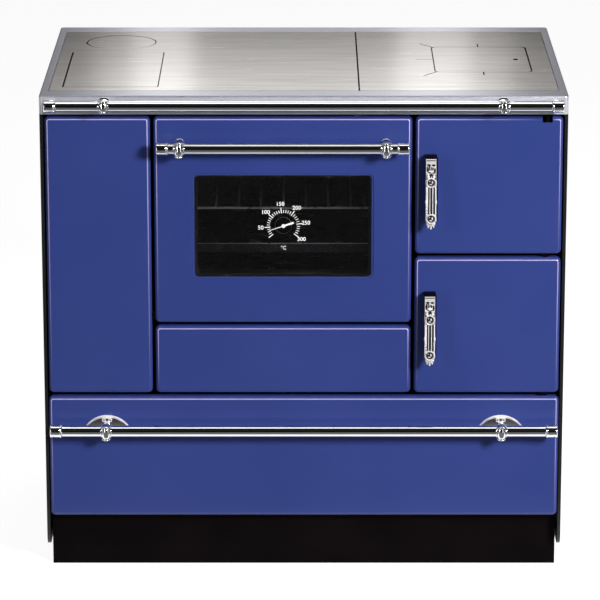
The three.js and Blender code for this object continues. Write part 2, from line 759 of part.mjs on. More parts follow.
// ---------------------------------------------------------------- oven door
function ovenDoor() {
  const door = frontGroup(ovenDoorX, ovenDoorBottom);
  const middle = ovenDoorHeight / 2;
  const windowY = windowRise + windowHeight / 2;
  const { body, hollow } = enamelPan(ovenDoorWidth, ovenDoorHeight);
  const opening = flatPlate(windowWidth, windowHeight, windowCorner, -panelDepth, lap, 5);
  opening.translate(0, windowY - middle, 0);
  const pinHole = rod(
    hingeRadius + clearance, [-ovenDoorWidth, ovenHingeRise - middle, -hingeDepth],
    [ovenDoorWidth, ovenHingeRise - middle, -hingeDepth], 20);
  piece(door, 'oven_door_panel', enamel, cut(body, [hollow, opening, pinHole]), 0, middle, 0);

  const glassWidth = windowWidth + 2 * windowOverlap;
  const glassHeight = windowHeight + 2 * windowOverlap;
  const glassBack = -panelSheet - clearance - glassThickness;
  const pane = flatPlate(
    glassWidth, glassHeight, windowCorner, glassBack, -panelSheet - clearance, 4);
  const dialX = dialOffset;
  const dialY = windowRise + dialHeight;
  const hubHole = rod(
    hubHoleRadius, [dialX, dialY - windowY, lap], [dialX, dialY - windowY, -panelDepth], 20);
  piece(door, 'oven_door_glass', glass, cut(pane, [hubHole]), 0, windowY, 0);

  const linerFront = -panelDepth - clearance;
  const linerWidth = ovenDoorWidth - 2 * linerInset;
  const linerHeight = ovenDoorHeight - 2 * linerInset;
  const liner = flatPlate(
    linerWidth, linerHeight, windowCorner, linerFront - linerThickness, linerFront, 4);
  // the collar of the liner's window reaches forward to clamp the glass
  const collar = flatPlate(
    glassWidth - 2 * glassClamp, glassHeight - 2 * glassClamp, windowCorner,
    linerFront - lap, glassBack - clearance, 4);
  collar.translate(0, windowY - middle, 0);
  const sight = flatPlate(
    windowWidth - 2 * sightInset, windowHeight - 2 * sightInset, windowCorner,
    linerFront - linerThickness - lap, lap, 4);
  sight.translate(0, windowY - middle, 0);
  piece(door, 'oven_door_liner', castIron, cut(join(liner, [collar]), [sight]), 0, middle, 0);

  // the thermometer's bimetal case sits behind the glass with its hub through it
  const caseFront = glassBack - clearance;
  const meter = join(
    rod(thermometerRadius, [0, 0, caseFront], [0, 0, caseFront - thermometerDepth], 24),
    [rod(hubRadius, [0, 0, caseFront - lap], [0, 0, -panelSheet], 20)]);
  piece(door, 'thermometer_case', zinc, meter, dialX, dialY, 0);

  const needle = new THREE.Shape();
  needle.moveTo(needleLength, 0);
  needle.lineTo(0, needleWaist / 2);
  needle.lineTo(-needleTail + needlePoint, needleWidth / 2);
  needle.lineTo(-needleTail, 0);
  needle.lineTo(-needleTail + needlePoint, -needleWidth / 2);
  needle.lineTo(0, -needleWaist / 2);
  needle.closePath();
  const blade = new THREE.ExtrudeGeometry(needle, {
    depth: needleThickness, bevelEnabled: false,
  });
  const boss = rod(hubRadius, [0, 0, 0], [0, 0, hubHeight], 20);
  const pointer = piece(
    door, 'thermometer_needle', dialWhite, join(blade, [boss]),
    dialX, dialY, -panelSheet + clearance);
  pointer.rotation.z = THREE.MathUtils.degToRad(needleAngle);

  rail(door, 'oven_rail', {
    radius: ovenRailRadius, length: ovenDoorWidth - 2 * ovenRailInset, inset: ovenBracketInset,
    ball: ovenBallRadius, offset: ovenRailOffset,
  }, railBracket, 0, ovenDoorHeight - ovenRailDrop, ovenRailOffset);
}

// a lug in the gap beside the oven door carries the pin that the door turns on
function ovenHinge(name, side) {
  const lugX = (side < 0 ? ovenDoorLeft : ovenDoorRight) + side * panelGap / 2;
  const y = ovenDoorBottom + ovenHingeRise;
  const lug = block(
    -lugThickness / 2, lugThickness / 2, -lugWidth / 2, lugWidth / 2,
    -frameSetback + clearance, -hingeDepth + hingeRadius);
  const pin = rod(hingeRadius, [0, 0, -hingeDepth], [-side * ovenPinLength, 0, -hingeDepth]);
  piece(front, name, blackSteel, join(lug, [pin]), lugX, y, 0);
}

// ---------------------------------------------------------------- fire and ash doors
function leverGeometry() {
  // side view of the lever: it leans outwards towards its lower end
  const top = handlePivot;
  const bottom = handlePivot - handleLength;
  const shape = new THREE.Shape();
  shape.moveTo(0, top);
  shape.lineTo(0, -handlePivot);
  shape.lineTo(handleLean, bottom);
  shape.lineTo(handleLean + handleThickness - handleChamfer, bottom);
  shape.lineTo(handleLean + handleThickness, bottom + handleTip);
  shape.lineTo(handleThickness, -handlePivot);
  shape.lineTo(handleThickness, top - handleChamfer);
  shape.lineTo(handleThickness - handleChamfer, top);
  shape.closePath();
  const lever = new THREE.ExtrudeGeometry(shape, { depth: handleWidth, bevelEnabled: false });
  // shape x runs outwards and the extrusion runs across the lever
  lever.applyMatrix4(new THREE.Matrix4().makeBasis(
    new THREE.Vector3(0, 0, 1), new THREE.Vector3(0, 1, 0), new THREE.Vector3(-1, 0, 0)));
  lever.translate(handleWidth / 2, 0, 0);
  return lever;
}

function hingedDoor(prefix, bottom, height, handleDrop, notched) {
  const door = frontGroup(fireDoorX, bottom);
  const middle = height / 2;
  const handleX = -fireDoorWidth / 2 + handleEdge;
  const pivotY = height - handleDrop - handlePivot;
  const { body, hollow } = enamelPan(fireDoorWidth, height);
  const postX = hingeX - fireDoorX;
  const post = rod(
    hingeRadius + clearance, [postX, -height, -hingeDepth], [postX, height, -hingeDepth]);
  const notch = block(
    postX - lugWidth / 2 - lugGap, postX + lugWidth / 2 + lugGap,
    middle - notchHeight, middle + lap, -panelDepth - lap, lap);
  const linerFront = -panelDepth - clearance;
  const linerBack = linerFront - linerThickness;
  const spindle = rod(
    spindleHole, [handleX, pivotY - middle, linerBack - lap], [handleX, pivotY - middle, lap]);
  const cuts = [hollow, post, spindle];
  if (notched) {
    cuts.push(notch);
  }
  piece(door, `${prefix}_panel`, enamel, cut(body, cuts), 0, middle, 0);

  const linerRight = postX - lugWidth / 2 - linerHingeGap;
  const linerLeft = -fireDoorWidth / 2 + handleEdge / 2;
  const liner = flatPlate(
    linerRight - linerLeft, height - 2 * linerInset, panelCorner, linerBack, linerFront, 4);
  const linerX = (linerLeft + linerRight) / 2;
  const linerHole = spindle.clone().translate(-linerX, 0, 0);
  piece(door, `${prefix}_liner`, castIron, cut(liner, [linerHole]), linerX, middle, 0);

  // the lever is keyed to a spindle that passes through the door
  const lever = cut(leverGeometry(), [
    rod(spindleHole, [0, 0, -lap], [0, 0, handleSocket])]);
  piece(door, `${prefix}_handle`, chrome, lever, handleX, pivotY, handleOffset);
  const shaft = rod(
    spindleRadius, [0, 0, linerBack - spindleTail], [0, 0, handleOffset + handleSocket - clearance]);
  const collarRing = rod(
    spindleCollar, [0, 0, clearance], [0, 0, spindleCollarHeight], 20);
  piece(
    door, `${prefix}_spindle`, chrome, join(shaft, [collarRing]), handleX, pivotY, 0);
}

// one hinge post stands behind the right edge of both doors, on lugs from the front frame
function hingePost() {
  const bottom = rowBottom - panelGap / 2;
  const between = fireDoorBottom - panelGap / 2;
  const top = lipBottom - lugHobGap - lugThickness / 2;
  const post = rod(
    hingeRadius, [hingeX, bottom, -hingeDepth], [hingeX, top, -hingeDepth]);
  const lugs = [bottom, between, top].map((y) => block(
    hingeX - lugWidth / 2, hingeX + lugWidth / 2, y - lugThickness / 2, y + lugThickness / 2,
    -frameSetback + clearance, -hingeDepth + hingeRadius));
  piece(front, 'door_hinge_post', blackSteel, join(post, lugs));
}

// ---------------------------------------------------------------- inside
function ovenBox() {
  const z0 = ovenDoorBottom + ovenRise;
  const y0 = frameBack + clearance;
  const half = ovenWidth / 2;
  const shell = block(
    ovenDoorX - half - ovenSheet, ovenDoorX + half + ovenSheet, y0, y0 + ovenDepth,
    z0 - ovenSheet, z0 + ovenHeight + ovenSheet);
  const cavity = block(
    ovenDoorX - half, ovenDoorX + half, y0 - lap, y0 + ovenDepth - ovenSheet,
    z0, z0 + ovenHeight);
  // pressed ledges on both walls hold the rack and the tray
  const ledges = [];
  for (const level of [rackHeight, trayHeight]) {
    for (const side of [-1, 1]) {
      const wall = ovenDoorX + side * half;
      ledges.push(block(
        Math.min(wall, wall - side * trayGap), Math.max(wall, wall - side * trayGap),
        y0 + ovenLedgeEnd, y0 + ovenDepth - ovenLedgeEnd, z0 + level - ovenLedge, z0 + level));
    }
  }
  piece(stove, 'oven_box', ovenEnamel, join(cut(shell, [cavity]), ledges));
}

function ovenRack() {
  const z = ovenDoorBottom + ovenRise + rackHeight + clearance + rackWire / 2;
  const y0 = frameBack + clearance + rackFront;
  const width = ovenWidth - 2 * clearance - 2 * ovenSlack;
  const depth = ovenDepth - ovenSheet - rackFront - rackBack;
  const wire = rackWire / 2;
  const x0 = -width / 2 + wire;
  const bars = [
    rod(wire, [x0, depth - wire, 0], [-x0, depth - wire, 0], 6),
    rod(wire, [x0, 0, 0], [x0, depth, 0], 6),
    rod(wire, [-x0, 0, 0], [-x0, depth, 0], 6),
  ];
  const count = Math.floor(width / 2 / rackPitch);
  for (let i = -count; i <= count; i += 1) {
    bars.push(rod(wire, [i * rackPitch, wire, 0], [i * rackPitch, depth - wire, 0], 6));
  }
  const frontBar = rod(wire, [x0, wire, 0], [-x0, wire, 0], 6);
  piece(stove, 'oven_rack', chrome, join(frontBar, bars), ovenDoorX, y0, z);
}

function bakingTray() {
  const z = ovenDoorBottom + ovenRise + trayHeight + clearance;
  const width = ovenWidth - 2 * clearance - 2 * ovenSlack;
  const depth = ovenDepth - ovenSheet - rackFront - trayBack;
  const dishWidth = width - 2 * trayGap - 2 * trayWallGap;
  const dishDepth = depth - 2 * trayRim;
  const rim = flatPlate(width, depth, trayCorner, 0, traySheet, 3);
  const dish = flatPlate(dishWidth, dishDepth, dishCorner, -trayDepth, traySheet / 2, 3);
  const inner = flatPlate(
    dishWidth - 2 * traySheet, dishDepth - 2 * traySheet, dishCorner - traySheet,
    -trayDepth + traySheet, traySheet + lap, 3);
  piece(
    stove, 'baking_tray', ovenEnamel, cut(join(rim, [dish]), [inner]),
    ovenDoorX, frameBack + clearance + rackFront + depth / 2, z);
}

const fireFloor = shelfZ + shelfSheet + clearance;
const fireTop = stoveHeight - plateThickness - ledgeThickness - fireTopGap;
const fireFront = frameBack + clearance;
const grateZ = fireDoorBottom + grateRise;

function fireboxCasing() {
  const half = fireWidth / 2;
  const shell = block(
    fireDoorX - half, fireDoorX + half, fireFront, fireFront + fireDepth, fireFloor, fireTop);
  const inside = block(
    fireDoorX - half + fireSheet, fireDoorX + half - fireSheet, fireFront - lap,
    fireFront + fireDepth - fireSheet, fireFloor + fireSheet, fireTop + lap);
  const ledges = [-1, 1].map((side) => {
    const wall = fireDoorX + side * (half - fireSheet);
    const edge = wall - side * grateLedge;
    return block(
      Math.min(wall, edge), Math.max(wall, edge),
      fireFront + fireLedgeEnd, fireFront + fireDepth - fireLedgeEnd, grateZ - grateLedge, grateZ);
  });
  piece(stove, 'firebox_casing', castIron, join(cut(shell, [inside]), ledges));
}

function grate() {
  const width = fireWidth - 2 * fireSheet - 2 * clearance;
  const depth = fireDepth - fireSheet - 2 * clearance;
  const plate = flatPlate(width, depth, grateCorner, 0, grateThickness, 2);
  const slots = [];
  const slotLength = depth / 2;
  const pitch = grateSlot + grateBar;
  const count = Math.floor((width / 2 - brickThickness - grateBar) / pitch);
  for (let i = -count; i <= count; i += 1) {
    slots.push(block(
      i * pitch - grateSlot / 2, i * pitch + grateSlot / 2, -slotLength / 2, slotLength / 2,
      -lap, grateThickness + lap));
  }
  piece(
    stove, 'grate', castIron, cut(plate, slots),
    fireDoorX, fireFront + clearance + depth / 2, grateZ + clearance);
}

function firebricks() {
  const z0 = grateZ + grateThickness + 2 * clearance;
  const half = fireWidth / 2 - fireSheet - clearance;
  const z1 = fireTop - brickTopGap;
  const y1 = fireFront + fireDepth - fireSheet - clearance;
  for (const [name, side] of [['firebrick_left', -1], ['firebrick_right', 1]]) {
    const outer = fireDoorX + side * half;
    const inner = outer - side * brickThickness;
    piece(stove, name, brick, block(
      Math.min(outer, inner), Math.max(outer, inner), fireFront + brickFrontGap, y1, z0, z1));
  }
  const gap = half - brickThickness - clearance;
  piece(stove, 'firebrick_back', brick, block(
    fireDoorX - gap, fireDoorX + gap, y1 - brickThickness, y1, z0, z1));
}

function ashPan() {
  const half = ashPanWidth / 2;
  const z0 = fireFloor + fireSheet + clearance;
  const y0 = fireFront + ashPanFront;
  const tray = block(-half, half, 0, ashPanDepth, 0, ashPanHeight);
  const inner = block(
    -half + ashPanSheet, half - ashPanSheet, ashPanSheet, ashPanDepth - ashPanSheet,
    ashPanSheet, ashPanHeight + lap);
  piece(stove, 'ash_pan', zinc, cut(tray, [inner]), fireDoorX, y0, z0);
}

// the cover over the cleaning hole under the oven is behind the lower front panel
function sootCover() {
  const group = frontGroup(ovenDoorX, rowBottom + lowerPanelHeight / 2);
  const plate = flatPlate(
    sootWidth + 2 * sootOverlap, sootHeight + 2 * sootOverlap, sootCorner,
    -frameSetback + clearance, -frameSetback + clearance + frameSheet, 3);
  const knob = rod(
    sootKnobRadius, [0, 0, -frameSetback + frameSheet], [0, 0, -panelDepth - sootKnobGap], 20);
  piece(group, 'soot_cover', castIron, join(plate, [knob]));
}

function flueCollar() {
  const start = halfDepth + clearance;
  const end = halfDepth + collarReach;
  const profile = [
    [collarRadius - collarWall, 0], [collarFlange, 0], [collarFlange, collarFlangeThickness],
    [collarRadius, collarFlangeThickness], [collarRadius, end - start],
    [collarRadius - collarWall, end - start], [collarRadius - collarWall, 0],
  ];
  const geometry = new THREE.LatheGeometry(
    profile.map(([r, y]) => new THREE.Vector2(r, y)), 32);
  piece(
    stove, 'flue_collar', castIron, geometry, flueCoverX, start, stoveHeight - collarDrop);
}

// ---------------------------------------------------------------- fuel drawer
function fuelDrawer() {
  const drawer = frontGroup(0, drawerBottom);
  const half = halfWidth - sideThickness - drawerSideGap;
  const { body, hollow } = enamelPan(2 * half, drawerHeight);
  piece(drawer, 'drawer_front', enamel, cut(body, [hollow]), 0, drawerHeight / 2, 0);

  const bottom = plinthHeight + runnerHeight + 2 * clearance - drawerBottom;
  const front0 = -panelDepth - clearance;
  const back = front0 - drawerBoxDepth;
  const box = block(-drawerBoxHalf, drawerBoxHalf, bottom, bottom + drawerBoxHeight, back, front0);
  const inner = block(
    -drawerBoxHalf + drawerBoxSheet, drawerBoxHalf - drawerBoxSheet,
    bottom + drawerBoxSheet, bottom + drawerBoxHeight + lap, back + drawerBoxSheet, front0 - drawerBoxSheet);
  piece(drawer, 'drawer_box', zinc, cut(box, [inner]));

  rail(drawer, 'drawer_rail', {
    radius: drawerRailRadius, length: 2 * (half - drawerRailInset), inset: drawerBracketInset,
    ball: drawerBallRadius, offset: drawerRailOffset,
  }, rosetteBracket, 0, drawerHeight - drawerRailDrop, drawerRailOffset);
}

// ---------------------------------------------------------------- assembly
plinth();
sidePanel('left_side_panel', -1);
sidePanel('right_side_panel', 1);
backPanel();
frontFrame();
middleShelf();
drawerRunner('drawer_runner_left', -1);
drawerRunner('drawer_runner_right', 1);
plainPanel('left_front_panel', -panelHalf, -panelHalf + leftPanelWidth, rowBottom, panelTop);
plainPanel(
  'lower_front_panel', ovenDoorLeft, ovenDoorRight, rowBottom, rowBottom + lowerPanelHeight);
hobFrame();
hobPlateLeft();
hobPlateRight();
covers();
hobRail();
ovenDoor();
ovenHinge('oven_hinge_left', -1);
ovenHinge('oven_hinge_right', 1);
hingedDoor('fire_door', fireDoorBottom, fireDoorHeight, fireHandleDrop, true);
hingedDoor('ash_door', rowBottom, ashDoorHeight, ashHandleDrop, false);
hingePost();
ovenBox();
ovenRack();
bakingTray();
fireboxCasing();
grate();
firebricks();
ashPan();
sootCover();
flueCollar();
fuelDrawer();

export default stove;
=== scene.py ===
"""A free-standing wood-burning cookstove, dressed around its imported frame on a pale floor."""

import math

import bmesh
import bpy
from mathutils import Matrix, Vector

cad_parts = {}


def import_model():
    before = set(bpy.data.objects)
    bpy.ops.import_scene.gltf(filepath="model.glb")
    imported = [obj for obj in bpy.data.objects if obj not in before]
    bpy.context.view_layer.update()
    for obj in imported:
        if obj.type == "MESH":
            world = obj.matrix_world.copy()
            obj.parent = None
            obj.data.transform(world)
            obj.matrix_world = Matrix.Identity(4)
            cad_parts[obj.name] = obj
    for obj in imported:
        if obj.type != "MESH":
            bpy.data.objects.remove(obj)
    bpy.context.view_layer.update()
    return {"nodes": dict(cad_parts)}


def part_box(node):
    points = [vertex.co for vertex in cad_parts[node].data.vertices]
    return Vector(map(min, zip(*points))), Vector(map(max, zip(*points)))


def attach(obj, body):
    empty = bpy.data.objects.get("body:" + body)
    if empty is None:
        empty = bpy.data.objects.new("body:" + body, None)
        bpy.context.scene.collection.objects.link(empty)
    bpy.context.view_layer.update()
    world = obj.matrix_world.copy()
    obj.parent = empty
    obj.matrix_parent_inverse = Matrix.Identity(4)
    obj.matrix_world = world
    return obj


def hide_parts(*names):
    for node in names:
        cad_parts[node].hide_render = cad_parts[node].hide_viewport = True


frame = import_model()

MM = 0.001
SMOOTH_ANGLE = math.radians(32)
RELIEF_ANGLE = math.radians(60)  # cast ornament is shaded smoother
FINE_EDGE = 40  # an edge sharper than this, in degrees, is rounded off
PLAN_EDGE = 50
REACH_PAST = 10 * MM  # how far a cutter stands out of what it cuts

# the photograph's camera
IMAGE_SIDE = 600
SENSOR = 36.0
CAMERA_DISTANCE = 6.401
CAMERA_HEIGHT = 2.173
CAMERA_PITCH = 0.2690
FOCAL_PIXELS = 3676.4
CENTRE_OFFSET = 3.8  # pixels that the stove stands right of the picture's middle

# enamelled panels
PANEL_CORNER = 8.5 * MM
PANEL_ROLL = 7.0 * MM
PANEL_SHEET = 2.0 * MM
PANEL_BEND = 1.5 * MM
ROLL_STEPS = 18
# a painted highlight on the panels: a pale violet line inside the rolled edges, full on the top
# edge, weaker on the sides, fading out near the foot
HIGHLIGHT_INSET = 4.9 * MM  # the painted highlight runs along a line this far inside the outline
HIGHLIGHT_WIDTH = 0.65 * MM
HIGHLIGHT_FOOT = 40 * MM
TOP_HIGHLIGHT = 1.0
SIDE_HIGHLIGHT = 0.38
WINDOW_CORNER = 7.5 * MM
WINDOW_RECESS = 1.8 * MM
WINDOW_LIP = 3.8 * MM
WINDOW_OVERLAP = 12 * MM
LUG_SPARE = 1 * MM
LUG_DEPTH = 10 * MM

# rails
RING_SIDES = 48
TUBE_SIDES = 64
BALL_RADIUS = 9.8 * MM
BALL_CAP = 5.4 * MM  # from the olive's waist to its tip
BALL_DOME = 2.7 * MM
RAIL_BALLS = {  # how far each rail's olives reach above, below and in front of its axis
    "hob_rail": (11.8 * MM, 12.6 * MM, 11.2 * MM),
    "oven_rail": (13.2 * MM, 16.4 * MM, 12.6 * MM),
    "drawer_rail": (12.4 * MM, 16.6 * MM, 13.2 * MM)}
KNOB_RADIUS = 2.9 * MM
KNOB_BESIDE = 6.6 * MM
KNOB_AHEAD = 2.5 * MM
KNOB_ABOVE = 1.5 * MM

# the floor is pale around the stove and dim in front of the picture's frame
FLOOR_SIZE = 40.0
FLOOR_PALE = 0.35
FLOOR_DIM = 0.05
FLOOR_PALE_AT = -0.46
FLOOR_DIM_AT = -0.62
MIRRORED = 0.1  # what a mirror shows of the floor further forward
MIRRORED_FROM = -1.9
MIRRORED_TO = -1.6
FLOOR_LIT = 0.35  # share of its own colour that the lamps give the floor

# the world is pale behind the stove, more so high up, and dim on the camera's side
WORLD_LOW = 0.03
WORLD_HIGH = 0.36
WORLD_DIM = 0.04
WORLD_MIRRORED = 0.1  # share of the white backdrop that metal and glass show behind the stove
WORLD_BACK = (-0.25, 0.5)  # the directions along Y and Z over which it changes
WORLD_RISE = (0.05, 0.6)

# name, place, target, width, height and power of each lamp
LAMPS = (
    ("key", (2.4, -3.6, 2.2), (0, -0.3, 0.45), 0.9, 0.9, 236),
    ("softbox", (0, -0.48, 3.1), (0, -0.38, 0.7), 3.2, 1.1, 22),
    ("fill", (-3.2, -3.2, 1.6), (0, -0.3, 0.5), 0.8, 2.0, 18),
    ("edge_left", (-1.35, -1.75, 0.62), (0, -0.3, 0.45), 0.12, 1.2, 4),
    ("edge_right", (1.35, -1.75, 0.62), (0, -0.3, 0.45), 0.12, 1.2, 2.4),
    ("back_card", (0, 1.75, 1.80), (0, 0, 0.85), 0.97, 1.1, 5.5),
    ("band_left", (-0.32, 1.80, 1.72), (-0.25, 0, 0.85), 0.14, 1.6, 0.98),
    ("band_right", (0.295, 1.80, 1.72), (0.225, 0, 0.85), 0.17, 1.6, 1.10))


# ---------------------------------------------------------------- mesh helpers
def measure(node):
    """A node's low corner, high corner, middle and size."""
    low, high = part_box(node)
    return low, high, (low + high) / 2, high - low


def clamp(value):
    return min(1.0, max(0.0, value))


def outline(width, height, radius, steps=8):
    """Points of a rounded rectangle around the origin, anticlockwise."""
    points = []
    for sx, sy, quarter in ((1, 1, 0), (-1, 1, 1), (-1, -1, 2), (1, -1, 3)):
        for step in range(steps + 1):
            angle = (quarter + step / steps) * math.pi / 2
            points.append((
                sx * (width / 2 - radius) + radius * math.cos(angle),
                sy * (height / 2 - radius) + radius * math.sin(angle)))
    return points


def inset_outline(width, height, radius, inset):
    corner = max(radius - inset, 0.4 * MM)
    return outline(width - 2 * inset, height - 2 * inset, corner)


def front_ring(middle, width, height, radius, y, inset=0.0):
    """A rounded rectangle that faces forward."""
    return [
        Vector((middle.x + u, y, middle.z + v))
        for u, v in inset_outline(width, height, radius, inset)]


def flat_ring(middle, width, depth, radius, z, inset=0.0):
    """A rounded rectangle that lies flat."""
    return [
        Vector((middle.x + u, middle.y + v, z))
        for u, v in inset_outline(width, depth, radius, inset)]


def loft(rings, cyclic=False):
    """Vertices and faces between rings of equally many points, capped unless cyclic."""
    count = len(rings[0])
    verts = [point for ring in rings for point in ring]
    faces = []
    for ring in range(len(rings) if cyclic else len(rings) - 1):
        a = ring * count
        b = (ring + 1) % len(rings) * count
        for i in range(count):
            j = (i + 1) % count
            faces.append((a + i, a + j, b + j, b + i))
    if not cyclic:
        faces.append(tuple(reversed(range(count))))
        faces.append(tuple(range((len(rings) - 1) * count, len(rings) * count)))
    return verts, faces


def block(low, high):
    """A box between two corners."""
    x0, y0, z0 = low
    x1, y1, z1 = high
    ring = ((x0, y0), (x1, y0), (x1, y1), (x0, y1))
    return loft([[Vector((x, y, z)) for x, y in ring] for z in (z0, z1)])


def lathe(profile, origin, axis, sides=RING_SIDES, cyclic=False):
    """A turned solid: profile is (radius, distance along the axis) pairs."""
    turn = Vector(axis).to_track_quat("Z", "Y")
    rings = []
    for radius, along in profile:
        ring = []
        for i in range(sides):
            angle = 2 * math.pi * i / sides
            point = Vector((radius * math.cos(angle), radius * math.sin(angle), along))
            ring.append(Vector(origin) + turn @ point)
        rings.append(ring)
    return loft(rings, cyclic)


def arc(centre_r, centre_h, radius, start, end, steps):
    """Profile points on an arc, angles in degrees from the outward direction."""
    points = []
    for step in range(steps + 1):
        angle = math.radians(start + (end - start) * step / steps)
        points.append((centre_r + radius * math.cos(angle), centre_h + radius * math.sin(angle)))
    return points


def ball(place, radius):
    profile = [(max(0.1 * MM, r), h) for r, h in arc(0, 0, radius, -90, 90, 8)]
    return lathe(profile, place, (0, 0, 1), 16)


def rod(start, end, radius):
    run = Vector(end) - Vector(start)
    return lathe([(radius, 0.0), (radius, run.length)], start, run, 16)


def shade(mesh, angle=SMOOTH_ANGLE):
    mesh.polygons.foreach_set("use_smooth", [True] * len(mesh.polygons))
    mesh.set_sharp_from_angle(angle=angle)


def add_object(name, data):
    obj = bpy.data.objects.new(name, data)
    bpy.context.scene.collection.objects.link(obj)
    return obj


def make_object(name, verts, faces, angle=SMOOTH_ANGLE, tone=None):
    """A mesh object, with an optional value for each vertex that its material reads as painted
    light and shade.
    """
    mesh = bpy.data.meshes.new(name)
    mesh.from_pydata([tuple(v) for v in verts], [], faces)
    if tone is not None:
        mesh.attributes.new("tone", "FLOAT", "POINT").data.foreach_set("value", tone)
    shape = bmesh.new()
    shape.from_mesh(mesh)
    bmesh.ops.remove_doubles(shape, verts=shape.verts, dist=1e-7)
    bmesh.ops.recalc_face_normals(shape, faces=shape.faces)
    shape.to_mesh(mesh)
    shape.free()
    shade(mesh, angle)
    return add_object(name, mesh)


def join_parts(name, parts):
    """One object from several (vertices, faces) pairs."""
    verts = []
    faces = []
    for part_verts, part_faces in parts:
        base = len(verts)
        verts.extend(part_verts)
        faces.extend(tuple(i + base for i in face) for face in part_faces)
    return make_object(name, verts, faces)


def evaluated_mesh(obj):
    bpy.context.view_layer.update()
    graph = bpy.context.evaluated_depsgraph_get()
    return bpy.data.meshes.new_from_object(obj.evaluated_get(graph))


def apply_modifiers(obj):
    mesh = evaluated_mesh(obj)
    obj.modifiers.clear()
    old = obj.data
    obj.data = mesh
    bpy.data.meshes.remove(old)
    shade(mesh)


def carve(obj, cutters):
    """Cuts solids given as (vertices, faces) out of an object."""
    tools = []
    for number, solid in enumerate(cutters):
        tool = make_object(f"tool_{number}", *solid)
        modifier = obj.modifiers.new("cut", "BOOLEAN")
        modifier.object = tool
        modifier.solver = "EXACT"
        tools.append(tool)
    apply_modifiers(obj)
    for tool in tools:
        bpy.data.objects.remove(tool)


def bevel(obj, width, angle=FINE_EDGE):
    modifier = obj.modifiers.new("edges", "BEVEL")
    modifier.width = width
    modifier.segments = 2
    modifier.limit_method = "ANGLE"
    modifier.angle_limit = math.radians(angle)


def dress(obj, material, body=None, stands_for=()):
    """Gives a piece its material, the body that it rides on and the nodes that it stands for."""
    obj.data.materials.clear()
    obj.data.materials.append(material)
    if body:
        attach(obj, body)
    if stands_for:
        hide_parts(*stands_for)


# ---------------------------------------------------------------- materials
def map_range(tree, value, low, high, out_low, out_high, interpolation="LINEAR"):
    node = tree.nodes.new("ShaderNodeMapRange")
    node.interpolation_type = interpolation
    for key, number in (
            ("From Min", low), ("From Max", high), ("To Min", out_low), ("To Max", out_high)):
        node.inputs[key].default_value = number
    tree.links.new(value, node.inputs["Value"])
    return node.outputs["Result"]


def axes_of(tree, coordinates):
    """The X, Y and Z of one of the texture coordinates."""
    coords = tree.nodes.new("ShaderNodeTexCoord")
    parts = tree.nodes.new("ShaderNodeSeparateXYZ")
    tree.links.new(coords.outputs[coordinates], parts.inputs["Vector"])
    return parts.outputs


class Shader:
    """Builds one Principled material with procedural detail."""

    def __init__(self, name, **values):
        self.material = bpy.data.materials.new(name)
        self.material.use_nodes = True
        self.tree = self.material.node_tree
        self.bsdf = self.tree.nodes["Principled BSDF"]
        self.coords = self.tree.nodes.new("ShaderNodeTexCoord")
        for key, value in values.items():
            socket = key.replace("_", " ").title().replace("Ior", "IOR")
            self.bsdf.inputs[socket].default_value = value

    def node(self, kind, **inputs):
        node = self.tree.nodes.new(kind)
        for key, value in inputs.items():
            node.inputs[key].default_value = value
        return node

    def link(self, source, target):
        self.tree.links.new(source, target)

    def noise(self, scale, detail=3.0, stretch=(1, 1, 1), roughness=0.5):
        mapping = self.node("ShaderNodeMapping", Scale=stretch)
        self.link(self.coords.outputs["Object"], mapping.inputs["Vector"])
        noise = self.node("ShaderNodeTexNoise", Scale=scale, Detail=detail, Roughness=roughness)
        self.link(mapping.outputs["Vector"], noise.inputs["Vector"])
        return noise.outputs["Fac"]

    def tone(self):
        """The painted light and shade that the mesh carries at each vertex."""
        attribute = self.node("ShaderNodeAttribute")
        attribute.attribute_name = "tone"
        return attribute.outputs["Fac"]

    def ramp(self, factor, stops):
        ramp = self.node("ShaderNodeValToRGB")
        for element, (position, colour) in zip(ramp.color_ramp.elements, stops):
            element.position = position
            element.color = (*colour, 1.0)
        self.link(factor, ramp.inputs["Fac"])
        return ramp.outputs["Color"]

    def mix_colour(self, factor, first, second):
        mix = self.node("ShaderNodeMix")
        mix.data_type = "RGBA"
        self.link(factor, mix.inputs["Factor"])
        for socket, value in ((mix.inputs["A"], first), (mix.inputs["B"], second)):
            if isinstance(value, tuple):
                socket.default_value = (*value, 1.0)
            else:
                self.link(value, socket)
        return mix.outputs["Result"]

    def colour(self, source):
        self.link(source, self.bsdf.inputs["Base Color"])

    def roughness(self, factor, low, high):
        span = map_range(self.tree, factor, 0.0, 1.0, low, high)
        self.link(span, self.bsdf.inputs["Roughness"])

    def bump(self, *layers):
        """Each layer is (factor, height in metres)."""
        previous = None
        for factor, distance in layers:
            node = self.node("ShaderNodeBump", Distance=distance, Strength=1.0)
            self.link(factor, node.inputs["Height"])
            if previous is not None:
                self.link(previous, node.inputs["Normal"])
            previous = node.outputs["Normal"]
        self.link(previous, self.bsdf.inputs["Normal"])

    def grain_across(self, axis):
        """Anisotropic highlights run across a grain that lies along that axis."""
        tangent = self.node("ShaderNodeTangent")
        tangent.direction_type = "RADIAL"
        tangent.axis = axis
        self.link(tangent.outputs["Tangent"], self.bsdf.inputs["Tangent"])


def clouded(name, clouds, colours, rough=None, bumps=(), **values):
    """A material of two colours in clouds, with a varying roughness and fine relief.

    clouds, rough and each of the bumps begin with a noise's scale and detail.
    """
    shader = Shader(name, **values)
    shader.colour(shader.ramp(shader.noise(*clouds), tuple(zip((0.3, 0.7), colours))))
    if rough:
        scale, detail, low, high = rough
        shader.roughness(shader.noise(scale, detail), low, high)
    if bumps:
        shader.bump(*[(shader.noise(scale, detail), height) for scale, detail, height in bumps])
    return shader.material


